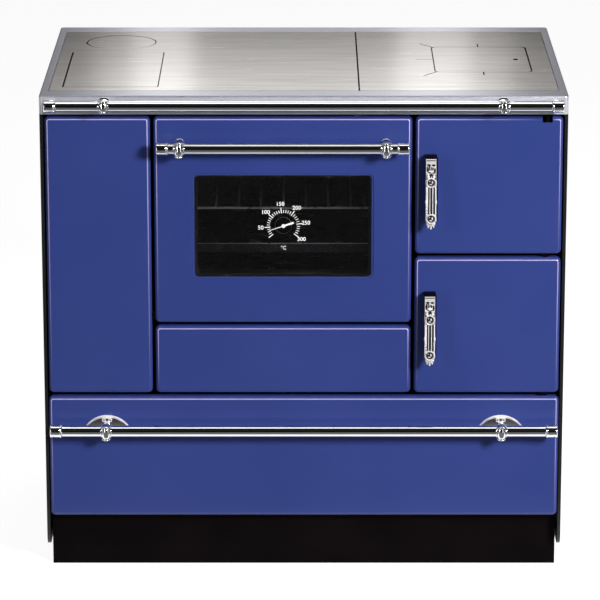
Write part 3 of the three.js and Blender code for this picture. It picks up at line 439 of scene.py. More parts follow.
def enamel_material():
    """Blue enamel with a painted highlight: a pale violet line where it rolls over an edge."""
    shader = Shader("blue_enamel", specular_ior_level=0.42)
    blue = shader.ramp(
        shader.noise(5.0), ((0.3, (0.027, 0.046, 0.202)), (0.7, (0.033, 0.053, 0.221))))
    # the pale violet mixed in along the rolled edges is a painted highlight
    shader.colour(shader.mix_colour(shader.tone(), blue, (0.60, 0.51, 0.82)))
    shader.roughness(shader.noise(34.0, 4.0), 0.20, 0.28)
    shader.bump((shader.noise(7.0, 2.0), 0.0001), (shader.noise(420.0, 2.0), 0.000004))
    return shader.material


def stainless_material():
    """Fine-ground steel, with painted shade darkening the flat border and painted light brightening
    the lip.
    """
    shader = Shader("stainless", metallic=0.55)
    speck = shader.noise(620.0, 2.0)
    border = shader.ramp(speck, ((0.35, (0.20, 0.202, 0.236)), (0.65, (0.34, 0.344, 0.392))))
    lip = shader.ramp(speck, ((0.35, (0.54, 0.545, 0.60)), (0.65, (0.68, 0.685, 0.74))))
    # the same steel, painted darker on the flat top as shade and brighter on the front lip as light
    shader.colour(shader.mix_colour(shader.tone(), border, lip))
    shader.roughness(shader.noise(300.0), 0.24, 0.40)
    shader.bump((speck, 0.00003))
    return shader.material


def hob_material():
    """Steel with a long grain from left to right, darkened towards the back by painted shade."""
    shader = Shader("hob_steel", metallic=0.6, specular_ior_level=0.0, anisotropic=0.6)
    broad_grain = shader.noise(1.0, 3.0, (5.0, 75.0, 75.0), 0.55)
    long_grain = shader.noise(1.0, 4.0, (9.0, 230.0, 230.0), 0.6)
    fine_grain = shader.noise(1.0, 2.0, (20.0, 900.0, 900.0), 0.6)
    dark = shader.ramp(broad_grain, ((0.30, (0.36, 0.343, 0.327)), (0.70, (0.56, 0.538, 0.52))))
    light = shader.ramp(long_grain, ((0.30, (0.44, 0.422, 0.406)), (0.70, (0.70, 0.677, 0.658))))
    stained = shader.mix_colour(shader.noise(3.2, 4.0), dark, light)
    # painted shade: the plates darken towards the back
    painted_rear_shade = map_range(shader.tree, axes_of(shader.tree, "Object")["Y"], -0.30, 0.22, 0.0, 0.72)
    shader.colour(shader.mix_colour(painted_rear_shade, stained, (0.125, 0.113, 0.102)))
    shader.roughness(long_grain, 0.19, 0.31)
    shader.bump((fine_grain, 0.00002), (long_grain, 0.00003))
    shader.grain_across("X")
    return shader.material


def cast_chrome_material():
    """Plated ornament, painted near black in its hollows as shade."""
    shader = Shader("cast_chrome", metallic=0.15)
    plated = shader.ramp(
        shader.noise(160.0), ((0.3, (0.78, 0.76, 0.77)), (0.7, (0.94, 0.92, 0.93))))
    # the near black mixed into the hollows is painted shade
    shader.colour(shader.mix_colour(shader.tone(), (0.010, 0.006, 0.005), plated))
    shader.roughness(shader.tone(), 0.5, 0.16)
    shader.bump((shader.noise(300.0, 2.0), 0.00002))
    return shader.material


def oven_enamel_material():
    """Dark enamel with pale specks."""
    shader = Shader("oven_enamel", coat_weight=0.3, coat_roughness=0.1)
    shader.colour(shader.ramp(
        shader.noise(900.0, 1.0), ((0.66, (0.020, 0.022, 0.026)), (0.70, (0.42, 0.43, 0.45)))))
    shader.roughness(shader.noise(40.0), 0.2, 0.32)
    shader.bump((shader.noise(14.0, 2.0), 0.0005))
    return shader.material


def firebrick_material():
    """Coarse clay with sooty patches."""
    shader = Shader("firebrick", roughness=0.92)
    speck = shader.noise(260.0, 4.0)
    base = shader.ramp(speck, ((0.35, (0.30, 0.21, 0.125)), (0.7, (0.62, 0.48, 0.32))))
    sooty = shader.ramp(
        shader.noise(9.0, 4.0), ((0.45, (0.0, 0.0, 0.0)), (0.8, (0.75, 0.75, 0.75))))
    shader.colour(shader.mix_colour(sooty, base, (0.09, 0.075, 0.06)))
    shader.bump((speck, 0.0006), (shader.noise(40.0), 0.0012))
    return shader.material


def zinc_material():
    """Galvanized sheet with its spangle."""
    shader = Shader("zinc_steel", metallic=1.0)
    spangle = shader.node("ShaderNodeTexVoronoi", Scale=55.0)
    shader.link(shader.coords.outputs["Object"], spangle.inputs["Vector"])
    grey = shader.node("ShaderNodeSeparateColor")
    shader.link(spangle.outputs["Color"], grey.inputs["Color"])
    shader.colour(shader.ramp(
        grey.outputs["Red"], ((0.0, (0.42, 0.43, 0.45)), (1.0, (0.60, 0.61, 0.63)))))
    shader.roughness(grey.outputs["Green"], 0.3, 0.5)
    shader.bump((shader.noise(180.0), 0.00008))
    return shader.material


ENAMEL = enamel_material()
BLACK = clouded(
    "black_enamel", (11.0, 4.0), ((0.0022, 0.0014, 0.0018), (0.0042, 0.0028, 0.0032)),
    (60.0, 4.0, 0.34, 0.48), [(700.0, 2.0, 0.00003)], specular_ior_level=0.03)
# satin black with the slight orange peel of a sprayed sheet
SHEET = clouded(
    "black_sheet", (6.0, 4.0), ((0.0075, 0.0068, 0.0078), (0.0125, 0.0115, 0.0125)),
    (35.0, 4.0, 0.24, 0.36), [(5.0, 2.0, 0.0008), (900.0, 2.0, 0.00002)],
    specular_ior_level=0.45)
STAINLESS = stainless_material()
HOB = hob_material()
CHROME = clouded(
    "chrome", (18.0, 3.0), ((0.84, 0.84, 0.85), (0.90, 0.90, 0.91)),
    (90.0, 4.0, 0.035, 0.085), [(45.0, 2.0, 0.000004)], metallic=1.0)
CAST_CHROME = cast_chrome_material()
# dull nickel plating
WIRE = clouded(
    "wire", (70.0, 3.0), ((0.62, 0.62, 0.62), (0.84, 0.84, 0.83)),
    (120.0, 3.0, 0.2, 0.4), [(260.0, 2.0, 0.00003)], metallic=0.5)
IRON = clouded(
    "cast_iron", (24.0, 5.0), ((0.018, 0.017, 0.017), (0.042, 0.039, 0.037)),
    (150.0, 3.0, 0.5, 0.75), [(520.0, 3.0, 0.00022), (60.0, 3.0, 0.0003)], metallic=0.25)
OVEN_ENAMEL = oven_enamel_material()
BRICK = firebrick_material()
ZINC = zinc_material()
GLASS = clouded(
    "oven_glass", (6.0, 2.0), ((0.60, 0.60, 0.62), (0.66, 0.66, 0.68)),
    roughness=0.0, transmission_weight=1.0, ior=1.5)
PRINT = clouded(
    "white_print", (400.0, 2.0), ((0.82, 0.82, 0.80), (0.92, 0.92, 0.90)), roughness=0.5)


# ---------------------------------------------------------------- enamelled panels
def painted_edge_highlight(point, low, high):
    """How strongly the pale violet painted highlight shows where the enamel rolls over the top and
    side edges.
    """
    if point.y > low.y + PANEL_ROLL / 2:
        return 0.0
    beside = min(point.x - low.x, high.x - point.x)
    below = high.z - point.z
    inset = min(beside, below)
    # the painted highlight is full on the top edge and weaker on the sides
    strength = TOP_HIGHLIGHT if below < beside + PANEL_CORNER / 2 else SIDE_HIGHLIGHT
    if beside < PANEL_CORNER and below < PANEL_CORNER:
        inset = PANEL_CORNER - math.hypot(PANEL_CORNER - beside, PANEL_CORNER - below)
    foot = clamp((point.z - low.z) / HIGHLIGHT_FOOT - 0.2)
    return strength * foot * math.exp(-((inset - HIGHLIGHT_INSET) / HIGHLIGHT_WIDTH) ** 2)


def enamel_panel(node, body, window=None, notch=None):
    """A pan of enamelled sheet with a rolled front edge, folded back and hollow behind."""
    low, high, middle, size = measure(node)

    def ring(depth, inset):
        return front_ring(middle, size.x, size.z, PANEL_CORNER, low.y + depth, inset)

    outer = [ring(size.y, 0.0)]
    for step in range(ROLL_STEPS + 1):
        angle = step / ROLL_STEPS * math.pi / 2
        outer.append(ring(
            PANEL_ROLL * (1 - math.sin(angle)), PANEL_ROLL * (1 - math.cos(angle))))
    outer.append(ring(0.0, PANEL_ROLL + PANEL_BEND))
    inner = [
        ring(PANEL_SHEET, PANEL_ROLL),
        ring(PANEL_SHEET + PANEL_BEND, PANEL_SHEET + PANEL_BEND),
        ring(PANEL_ROLL, PANEL_SHEET),
        ring(size.y, PANEL_SHEET)]
    if window is None:
        verts, faces = loft(inner + outer)
    else:
        centre, width, height = window
        pressed = [
            front_ring(centre, width, height, WINDOW_CORNER, low.y + depth, inset)
            for depth, inset in (
                (0.0, -WINDOW_LIP - 1.0 * MM), (0.0, -WINDOW_LIP),
                (WINDOW_RECESS, -WINDOW_LIP + 0.8 * MM), (WINDOW_RECESS, -0.6 * MM),
                (WINDOW_RECESS + 0.6 * MM, 0.0), (PANEL_SHEET + WINDOW_RECESS, 0.0))]
        verts, faces = loft(outer + pressed + inner, cyclic=True)
    # each vertex carries how much painted highlight it shows
    panel = make_object(
        f"{node}_skin", verts, faces, tone=[painted_edge_highlight(v, low, high) for v in verts])
    if notch is not None:
        carve(panel, [block(*notch)])
    dress(panel, ENAMEL, body, [node])


def oven_window():
    """The window's middle, width and height, from the glass behind it."""
    _, _, middle, size = measure("oven_door_glass")
    return middle, size.x - 2 * WINDOW_OVERLAP, size.z - 2 * WINDOW_OVERLAP


def fire_door_notch():
    """The notch in the fire door's top edge that clears its hinge lug."""
    low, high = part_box("fire_door_panel")
    post_low, post_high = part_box("door_hinge_post")
    return (
        (post_low.x - LUG_SPARE, low.y - REACH_PAST, high.z - LUG_DEPTH),
        (post_high.x + LUG_SPARE, high.y + REACH_PAST, high.z + REACH_PAST))


enamel_panel("left_front_panel", "casing")
enamel_panel("lower_front_panel", "lower_front_panel")
enamel_panel("oven_door_panel", "oven_door", window=oven_window())
enamel_panel("fire_door_panel", "fire_door", notch=fire_door_notch())
enamel_panel("ash_door_panel", "ash_door")
enamel_panel("drawer_front", "fuel_drawer")


# ---------------------------------------------------------------- rails
def rail_cap(node, body, side):
    """A turned cup over a tube's end, with a bead at its mouth and a domed end."""
    low, high, middle, size = measure(node)
    outer = size.z / 2 - 1 * MM
    length = size.x
    groove = outer - 0.7 * MM
    profile = [(0.2 * MM, 0.0), (outer * 0.5, 0.15 * MM)]
    profile += arc(outer - 2.2 * MM, 2.2 * MM, 2.2 * MM, -70, 0, 6)
    profile += [(outer, 5.2 * MM), (groove, 5.6 * MM), (groove, 6.4 * MM)]
    profile += [(outer, 6.8 * MM), (outer, length - 5.2 * MM)]
    profile += arc(outer - 0.8 * MM, length - 2.6 * MM, 1.8 * MM, -75, 75, 8)
    profile += [(outer - 1.0 * MM, length - 0.1 * MM), (outer - 1.6 * MM, length)]
    end = high.x if side > 0 else low.x
    solid = lathe(profile, (end, middle.y, middle.z), (-side, 0, 0))
    dress(make_object(f"{node}_turned", *solid), CHROME, body, [node])


def rail_tube(node, body):
    low, high, middle, size = measure(node)
    profile = [(size.z / 2, low.x), (size.z / 2, high.x)]
    solid = lathe(profile, (0, middle.y, middle.z), (1, 0, 0), TUBE_SIDES)
    dress(make_object(f"{node}_tube", *solid), CHROME, body, [node])


def olive_half(height):
    """From the olive's belly to a groove, a bead and a small dome at its tip."""
    waist = height - BALL_CAP
    half = [
        (BALL_RADIUS * math.sqrt(1 - (0.46 * t) ** 2), t * waist)
        for t in (0, 0.15, 0.3, 0.45, 0.6, 0.75, 0.9)]
    half += [(BALL_RADIUS - 1.6 * MM, waist), (BALL_RADIUS - 3.2 * MM, waist + 0.5 * MM)]
    half += [(BALL_RADIUS - 3.3 * MM, waist + 1.1 * MM)]
    half += arc(BALL_RADIUS - 2.2 * MM, waist + 2.1 * MM, 1.2 * MM, -90, 30, 6)
    for step in range(1, 9):
        angle = step / 8 * math.pi / 2
        half.append((
            max(0.2 * MM, (BALL_RADIUS - 1.3 * MM) * math.cos(angle)),
            waist + BALL_DOME + (BALL_CAP - BALL_DOME) * math.sin(angle)))
    return half


def ball_bracket(node, body, tube_node, foot=True):
    """An upright turned olive around the tube, and the stem to its foot."""
    _, high, middle, _ = measure(node)
    _, _, axis, tube_size = measure(tube_node)
    place = Vector((middle.x, axis.y, axis.z))
    back = high.y - place.y
    above, below, ahead = RAIL_BALLS[tube_node]
    olive = [(r, -along) for r, along in reversed(olive_half(below)[1:])]
    verts, faces = lathe(olive + olive_half(above), place, (0, 0, 1))
    deeper = ahead / BALL_RADIUS
    parts = [([Vector((v.x, place.y + (v.y - place.y) * deeper, v.z)) for v in verts], faces)]
    if tube_node == "hob_rail":
        # two knobs on its shoulders
        knob = arc(0, 0, KNOB_RADIUS, -86, 86, 12)
        for side in (-1, 1):
            beside = (side * KNOB_BESIDE, -KNOB_AHEAD, above - BALL_CAP + KNOB_ABOVE)
            parts.append(lathe(knob, place + Vector(beside), (0, 0, 1), 24))
    # a ring at each side where the tube enters
    tube = tube_size.z / 2
    ring = [(tube * 0.6, 0.0)]
    ring += arc(tube + 0.2 * MM, BALL_RADIUS - 1.0 * MM, 1.0 * MM, -90, 90, 8)
    ring += [(tube * 0.6, BALL_RADIUS)]
    for side in (-1, 1):
        parts.append(lathe(ring, place, (side, 0, 0)))
    # the stem runs back to a moulded foot
    stem = [(5.4 * MM, 0.0), (5.4 * MM, back * 0.35), (4.4 * MM, back * 0.5)]
    stem += [(4.6 * MM, back - 7 * MM), (6.6 * MM, back - 6 * MM), (6.6 * MM, back - 4.8 * MM)]
    if foot:
        stem += [(5.6 * MM, back - 4 * MM), (9.0 * MM, back - 2.4 * MM)]
        stem += [(10.0 * MM, back - 1.4 * MM), (10.0 * MM, back)]
    else:
        stem += [(7.6 * MM, back - 4 * MM), (9.0 * MM, back)]
    parts.append(lathe(stem, place, (0, 1, 0)))
    dress(join_parts(f"{node}_cast", parts), CHROME, body, [node])


# ---------------------------------------------------------------- cast ornament
def relief_plate(length, half_width, height, base, rows, columns):
    """A closed solid with a modelled front.

    Local frame: u across, v down the length, w outwards. half_width(v) bounds u,
    height(u, v) is the front's w and base(v) the flat back's w.
    """
    grid = []
    for i in range(rows + 1):
        v = length * i / rows
        half = half_width(v)
        grid += [(half * (2 * j / columns - 1), v) for j in range(columns + 1)]
    verts = [(u, v, height(u, v)) for u, v in grid] + [(u, v, base(v)) for u, v in grid]
    faces = []
    back = len(grid)
    wide = columns + 1
    for i in range(rows):
        for j in range(columns):
            a = i * wide + j
            b = back + a
            faces.append((a, a + 1, a + 1 + wide, a + wide))
            faces.append((b, b + wide, b + 1 + wide, b + 1))
        for a in (i * wide, i * wide + columns):
            faces.append((a, a + wide, back + a + wide, back + a))
    for i in (0, rows):
        for a in range(i * wide, i * wide + columns):
            faces.append((a, a + 1, back + a + 1, back + a))
    return verts, faces


def bump_at(u, v, centre_u, centre_v, radius_u, radius_v, height):
    """A smooth dome."""
    r = ((u - centre_u) / radius_u) ** 2 + ((v - centre_v) / radius_v) ** 2
    return height * max(0.0, 1 - r) ** 1.2


def ring_at(u, v, centre_v, radius, thickness, height):
    """A raised ring with a rounded top, on the middle line."""
    t = (math.hypot(u, v - centre_v) - radius) / thickness
    return height * max(0.0, 1 - t * t)


def ridge(value, place, width, power=2):
    """1 at a place, falling away to both sides of it."""
    return math.exp(-((value - place) / width) ** power)


# the lever's size and ornament, in millimetres from the top of its face
RELIEF_HEIGHT = 2.0
LEVER_LEAN = 9.0
LEVER_LENGTH = 121.0
LEVER_HALF = 9.6
LEVER_SHEET = 6.0
LEVER_DROP = 2.5  # its face starts this far below the arm's top
TIP_FROM = 108.0
SHELL_FROM = 110.0
BAND_AT = 3.1
SCROLLS = (27.0, 36.0)
SCROLL_RING = 26.5
BOSS_AT = (41.0, 103.0)
BOSS_RADIUS = 7.4
FLUTES = (48.5, 95.5)
GROOVES = ((-3.9, 1.25), (0.4, 1.75), (5.2, 1.5))  # place across and width
EARS_AT = 74.0
NICKS_AT = (84.0, 88.5, 93.0)
# hollows of the palmette: across, down, half width, half height, depth
LEVER_MARKS = (
    (-4.0, 10.8, 3.6, 1.9, 3.2), (4.0, 11.2, 3.4, 1.9, 3.2),
    (-6.0, 18.0, 1.9, 5.6, 3.2), (6.3, 20.5, 1.8, 5.2, 3.2), (-2.9, 13.5, 1.4, 2.6, 3.0),
    (-2.6, 18.0, 1.2, 2.6, 2.8), (0.2, 16.6, 1.0, 3.8, 2.8), (2.8, 17.2, 1.2, 3.2, 2.8),
    (-3.4, 23.5, 2.6, 1.6, 2.8), (3.6, 24.0, 2.2, 1.6, 2.8), (0.0, 26.5, 2.4, 2.0, 2.4))
SCROLL_MARKS = ((-5.0, 31.0, 3.3, 4.0, 3.4), (5.0, 31.0, 3.3, 4.0, 3.4), (0.5, 31.5, 1.2, 2.6, 2.4))
# the small figure in each boss, from the boss's middle
BOSS_MARKS = ((2.2, -0.8, 1.9, 3.4, 2.8), (-0.6, 3.0, 3.6, 1.3, 2.6), (-2.4, -2.6, 1.3, 1.5, 2.0))
# the lever's arm and the strap behind its face
ARM_HEIGHT = 9.0
ARM_HALF = 10.4
STRAP_AT = (2.0, 12.0, 40.0, 75.0, 110.0)
STRAP_SECTION = ((-8.6, 5.0), (11.6, 5.0), (11.6, 10.0), (-8.6, 10.0))


def lever_half(v):
    """Half the lever's width down its length."""
    if v > TIP_FROM:
        t = (v - TIP_FROM) / (LEVER_LENGTH - TIP_FROM)
        return 8.2 * math.sqrt(max(0.02, 1 - t ** 2.2)) + 0.4 * math.cos(t * 9.4)
    half = LEVER_HALF + 0.9 * ridge(v, EARS_AT, 3.2)
    for boss in BOSS_AT:
        half += 0.7 * ridge(v, boss, 5.0)
    return half - 0.3 * (FLUTES[0] < v < FLUTES[1])


def lever_relief(u, v):
    """Height of the ornament above the lever's plain face."""
    edge = lever_half(v) - abs(u)
    height = -1.6 * max(0.0, 1 - edge / 1.5) ** 2
    # a groove across the top band, then a palmette and two scrolls above the upper boss
    height -= 1.3 * ridge(v, BAND_AT, 0.55) * (abs(u) < 8)
    for mark in LEVER_MARKS:
        height -= bump_at(u, v, *mark)
    height += ring_at(u, v, SCROLL_RING, 4.9, 1.1, 1.6) * (v < SCROLL_RING + 1)
    top, foot = SCROLLS
    if top < v < foot:
        height -= 1.6 * min(1.0, (v - top) / 1.5, (foot - v) / 1.5) * (abs(u) < 8.2)
        for mark in SCROLL_MARKS:
            height += bump_at(u, v, *mark)
    # bosses: a raised rim around a dark hollow with a small figure
    for boss in BOSS_AT:
        distance = math.hypot(u, v - boss)
        if distance < BOSS_RADIUS + 1.6:
            height = -1.5 if distance < BOSS_RADIUS else max(height, -0.4)
            height += ring_at(u, v, boss, BOSS_RADIUS, 1.5, 2.9)
            for mark in BOSS_MARKS:
                height += bump_at(u, v - boss, *mark)
    # grooves between them
    top, foot = FLUTES
    if top - 1 < v < foot + 1:
        fade = min(1.0, max(0.0, (v - top) / 1.5), max(0.0, (foot - v) / 1.5))
        groove = max(ridge(u, place, wide, 4) for place, wide in GROOVES)
        height += fade * (0.8 - 2.6 * groove)
    for side in (-1, 1):
        height += bump_at(u, v, side * 8.2, EARS_AT, 2.2, 4.0, 1.6)
    for place in NICKS_AT:
        height -= bump_at(u, v, -6.6, place, 1.5, 1.3, 2.2)
    # a ribbed shell at the tip
    if v > SHELL_FROM:
        t = (v - SHELL_FROM) / (LEVER_LENGTH - SHELL_FROM)
        height += 1.1 * math.cos(math.atan2(u, v - TIP_FROM) * 13) * min(1.0, t * 4)
        height += 1.2 * (1 - t)
    return height


def relief_painted_light(height):
    """Bright where the ornament stands proud, with painted shade in its hollows."""
    t = clamp((height + 0.75) / 1.1)
    return t * t * (3 - 2 * t)


def lever(prefix, body):
    """The cast lever, and the square arm to the door with a strap behind the lever's face."""
    node = f"{prefix}_handle"
    low, high, middle, _ = measure(node)
    panel_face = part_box(f"{prefix}_panel")[0].y
    out = (panel_face - low.y) / MM - LEVER_LEAN - RELIEF_HEIGHT  # out of the door, at the arm

    def lean_at(v):
        t = max(0.0, (v - 12) / (LEVER_LENGTH - 12))
        return out + LEVER_LEAN * (1 - (1 - t) ** 1.6)

    def placed(u, v, w):
        return Vector((middle.x + u * MM, panel_face - w * MM, high.z - v * MM))

    verts, faces = relief_plate(
        LEVER_LENGTH, lever_half, lambda u, v: lean_at(v) + lever_relief(u, v),
        lambda v: lean_at(v) - LEVER_SHEET, 300, 56)
    arm_block = block(placed(-ARM_HALF, ARM_HEIGHT, out - 0.5), placed(ARM_HALF, 0, 0.4))
    strap = [[placed(u, v, lean_at(v) - w) for u, w in STRAP_SECTION] for v in STRAP_AT]
    arm = join_parts(f"{prefix}_arm", [arm_block, loft(strap)])
    bevel(arm, 0.8 * MM)
    apply_modifiers(arm)
    dress(arm, BLACK, body, [f"{prefix}_spindle"])
    # each vertex carries the painted shade of the relief's hollows
    piece = make_object(
        f"{prefix}_lever", [placed(u, v + LEVER_DROP, w) for u, v, w in verts], faces,
        RELIEF_ANGLE, [relief_painted_light(lever_relief(u, v)) for u, v, _ in verts])
    dress(piece, CAST_CHROME, body, [node])


# the rosette's ornament, in millimetres from its middle
RIM_WIDTH = 4.4
STEM_HALF = 3.4
SCROLL_AT = (5.4, 10.4)
SCROLL_RADIUS = 2.5
ROSETTE_BACK = 0.3
ROSETTE_SHEET = 1.2
ROSETTE_DOME = 2.4
ROSETTE_RELIEF = 2.0


def rosette_pattern(across, up, edge):
    """1 on the rim, the stem and the two scrolls, 0 in the hollows between them."""
    across, up = abs(across), abs(up)
    rim = clamp((RIM_WIDTH + 2.2 * ridge(across, 0, 7) - edge) / 0.9)
    line = 1 - 0.75 * ridge(edge, RIM_WIDTH - 1.7, 0.45) * clamp((across - 9) / 2)
    stem = clamp((STEM_HALF + 0.12 * up ** 1.4 - across) / 0.9)
    stem *= clamp((SCROLL_AT[1] - 1 - up) / 1.5)
    distance = math.hypot(across - SCROLL_AT[0], up - SCROLL_AT[1])
    scroll = clamp(1.3 - ((distance - SCROLL_RADIUS) / 0.9) ** 2)
    eye = clamp(1.2 - distance / 0.8)
    return max(rim * line, stem, scroll, eye)


def rosette(side):
    """A pointed oval plate behind a drawer bracket: a rim, a stem and two scrolls."""
    _, _, middle, size = measure(f"drawer_rail_bracket_{side}")
    panel_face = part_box("drawer_front")[0].y
    half_width = size.x / 2 / MM
    half_height = size.z / 2 / MM
    sweep = (half_width ** 2 + half_height ** 2) / (2 * half_height)

    def half_at(v):
        # v runs across the rosette, so this is half its height there
        across = v - half_width
        return max(0.4, math.sqrt(max(0.0, sweep ** 2 - across ** 2)) - sweep + half_height)

    def height(u, v):
        across = v - half_width
        edge = half_at(v) - abs(u)
        dome = max(0.0, 1 - math.hypot(across / half_width, u / half_height) ** 2)
        pattern = rosette_pattern(across, u, edge) * clamp(edge / 1.2)
        return ROSETTE_SHEET + ROSETTE_DOME * dome + ROSETTE_RELIEF * pattern

    # painted shade in the hollows, a little lighter near the middle line, and the plating's colour
    # on the raised pattern
    def tone(u, v):
        hollow = 0.02 + 0.09 * clamp(1 - abs(u) / 9)
        return max(hollow, rosette_pattern(v - half_width, u, half_at(v) - abs(u)))

    verts, faces = relief_plate(
        2 * half_width, half_at, height, lambda v: ROSETTE_BACK, 220, 110)
    placed = [
        Vector((middle.x + (v - half_width) * MM, panel_face - w * MM, middle.z + u * MM))
        for u, v, w in verts]
    piece = make_object(
        f"drawer_rosette_{side}", placed, faces, RELIEF_ANGLE,
        [tone(u, v) for u, v, _ in verts])
    dress(piece, CAST_CHROME, "fuel_drawer")


def rail(prefix, body, foot=True):
    rail_tube(prefix, body)
    for end, side in (("left", -1), ("right", 1)):
        rail_cap(f"{prefix}_cap_{end}", body, side)
        ball_bracket(f"{prefix}_bracket_{end}", body, prefix, foot)


rail("hob_rail", "casing")
rail("oven_rail", "oven_door")
rail("drawer_rail", "fuel_drawer", foot=False)
rosette("left")
rosette("right")
lever("fire_door", "fire_door_lever")
lever("ash_door", "ash_door_lever")


# ---------------------------------------------------------------- hob
HOB_CORNER = 6 * MM
HOB_ROLL = 2.6 * MM
HOB_SHEET = 3 * MM
HOB_BORDER_ROLL = 0.8 * MM
PLATE_GAP = 1 * MM
PLATE_LEDGE = 10 * MM
LEDGE_SHEET = 5 * MM
SEAT_GAP = 0.3 * MM
# gaps around the covers at the left, right, front and back; they sit a little off centre
FLUE_GAPS = tuple(gap * MM for gap in (2.3, 1.3, 1.4, 3.2))
CLEANING_GAPS = tuple(gap * MM for gap in (2.9, 1.3, 1.8, 0.5))
FIREBOX_GAPS = tuple(gap * MM for gap in (1.7, 2.6, 1.2, 1.6))
CLEANING_CORNER = 3 * MM
FIREBOX_CORNER = 10 * MM
COVER_RIM = 6 * MM
COVER_SIDES = 96
DISC_EDGE = 0.3 * MM
SLOT_HALF = 1.1 * MM
SLOT_LAP = 2 * MM
SLOT_SLANT = 22 * MM
SLOT_RUN = 32 * MM
SLOT_SHORT = 26 * MM
KEY_INSET = 21.5 * MM
KEY_HALF = Vector((4 * MM, 6 * MM, 0))


def hob_frame():
    """The folded stainless frame around the plates: a lip, a rolled edge and a flat border."""
    low, high, middle, size = measure("hob_frame")
    plate_low, plate_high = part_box("hob_plate_left")
    in_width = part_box("hob_plate_right")[1].x - plate_low.x + 2 * PLATE_GAP
    in_depth = plate_high.y - plate_low.y + 2 * PLATE_GAP
    seat = plate_low.z - SEAT_GAP
    fold = high.z - HOB_ROLL
    # from the foot of the lip up over a fine fold line
    outer = [
        (low.z, HOB_SHEET), (low.z, 0.0), (fold - 1.9 * MM, 0.0),
        (fold - 1.5 * MM, 0.5 * MM), (fold - 0.9 * MM, 0.5 * MM)]
    for step in range(7):
        angle = step / 6 * math.pi / 2
        outer.append((
            high.z - HOB_ROLL * (1 - math.sin(angle)), HOB_ROLL * (1 - math.cos(angle))))
    outer.append((high.z, HOB_ROLL + 1.2 * MM))
    inner = (
        (high.z, -HOB_BORDER_ROLL - 1 * MM), (high.z, -HOB_BORDER_ROLL),
        (high.z - HOB_BORDER_ROLL, 0.0), (seat, 0.0), (seat, PLATE_LEDGE),
        (seat - LEDGE_SHEET, PLATE_LEDGE))
    rings = [flat_ring(middle, size.x, size.y, HOB_CORNER, z, inset) for z, inset in outer]
    rings += [flat_ring(middle, in_width, in_depth, 2 * MM, z, inset) for z, inset in inner]
    rings.append(flat_ring(middle, size.x, size.y, HOB_CORNER, seat - LEDGE_SHEET, HOB_SHEET))
    verts, faces = loft(rings, cyclic=True)
    # the front lip is marked for the steel's painted light, the flat top for its painted shade
    folded = make_object(
        "hob_frame_folded", verts, faces,
        tone=[float(v.z < high.z - HOB_ROLL / 2) for v in verts])
    dress(folded, STAINLESS, "casing", ["hob_frame"])


def plan_solid(low, high, radius, bottom, top, inset=0.0):
    """A cover's plan between two levels: a disc, or a rounded rectangle with that radius."""
    middle = (low + high) / 2
    size = high - low
    if radius is None:
        profile = [(size.x / 2 - inset, bottom), (size.x / 2 - inset, top)]
        return lathe(profile, (middle.x, middle.y, 0), (0, 0, 1), COVER_SIDES)
    corner = max(radius, inset + 0.5 * MM)
    return loft([flat_ring(middle, size.x, size.y, corner, z, inset) for z in (bottom, top)])


def grown(low, high, gaps):
    """A cover's box with its gap added at each side."""
    left, right, front, back = gaps
    return low - Vector((left, front, 0)), high + Vector((right, back, 0))


def slot_cutter(x0, y0, x1, y1, z):
    """A narrow straight slot through the plate."""
    start, end = Vector((x0, y0, 0)), Vector((x1, y1, 0))
    along = (end - start).normalized()
    across = Vector((-along.y, along.x, 0)) * SLOT_HALF
    corners = (start - across, end - across, end + across, start + across)
    levels = (z - 2 * REACH_PAST, z + 2 * REACH_PAST)
    return loft([[corner + Vector((0, 0, level)) for corner in corners] for level in levels])


def soot_inside(obj, top):
    """Everything below the plate's surface is black with soot."""
    obj.data.materials.append(BLACK)
    for face in obj.data.polygons:
        if face.center.z < top - 0.2 * MM:
            face.material_index = 1


def plate(node, openings, slots=()):
    low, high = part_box(node)
    base = make_object(f"{node}_brushed", *block(low, high))
    cutters = []
    for cover_node, radius, gaps in openings:
        cover_low, cover_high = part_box(cover_node)
        seat = cover_low.z - SEAT_GAP
        cutters.append(plan_solid(
            *grown(cover_low, cover_high, gaps), radius, seat, high.z + REACH_PAST))
        cutters.append(plan_solid(
            cover_low, cover_high, radius, low.z - REACH_PAST, high.z, COVER_RIM))
    cutters += [slot_cutter(*slot, high.z) for slot in slots]
    carve(base, cutters)
    dress(base, HOB, "casing", [node])
    soot_inside(base, high.z)
    bevel(base, 0.35 * MM, PLAN_EDGE)


def fire_slots():
    """Expansion cuts that run out from the firebox cover's corners and sides."""
    low, high, middle, _ = measure("firebox_cover")
    left, front, back = low.x + SLOT_LAP, low.y + SLOT_LAP, high.y - SLOT_LAP
    return (
        (left, back, low.x - SLOT_SLANT, high.y + SLOT_RUN),
        (left, front, low.x - SLOT_SLANT, low.y - SLOT_RUN),
        (left, middle.y, low.x - SLOT_RUN, middle.y),
        (middle.x, back, middle.x, high.y + SLOT_SHORT),
        (middle.x, front, middle.x, low.y - SLOT_SHORT))


def dress_cover(piece, node):
    dress(piece, HOB, node, [node])
    soot_inside(piece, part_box(node)[1].z)


def disc_cover(node):
    low, high, middle, size = measure(node)
    radius = size.x / 2
    profile = [(radius, low.z), (radius, high.z - DISC_EDGE), (radius - DISC_EDGE, high.z)]
    solid = lathe(profile, (middle.x, middle.y, 0), (0, 0, 1), COVER_SIDES)
    dress_cover(make_object(f"{node}_disc", *solid), node)


def lid_cover(node, radius, cuts=()):
    low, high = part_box(node)
    piece = make_object(f"{node}_lid", *plan_solid(low, high, radius, low.z, high.z))
    if cuts:
        carve(piece, cuts)
    bevel(piece, 0.3 * MM, PLAN_EDGE)
    dress_cover(piece, node)


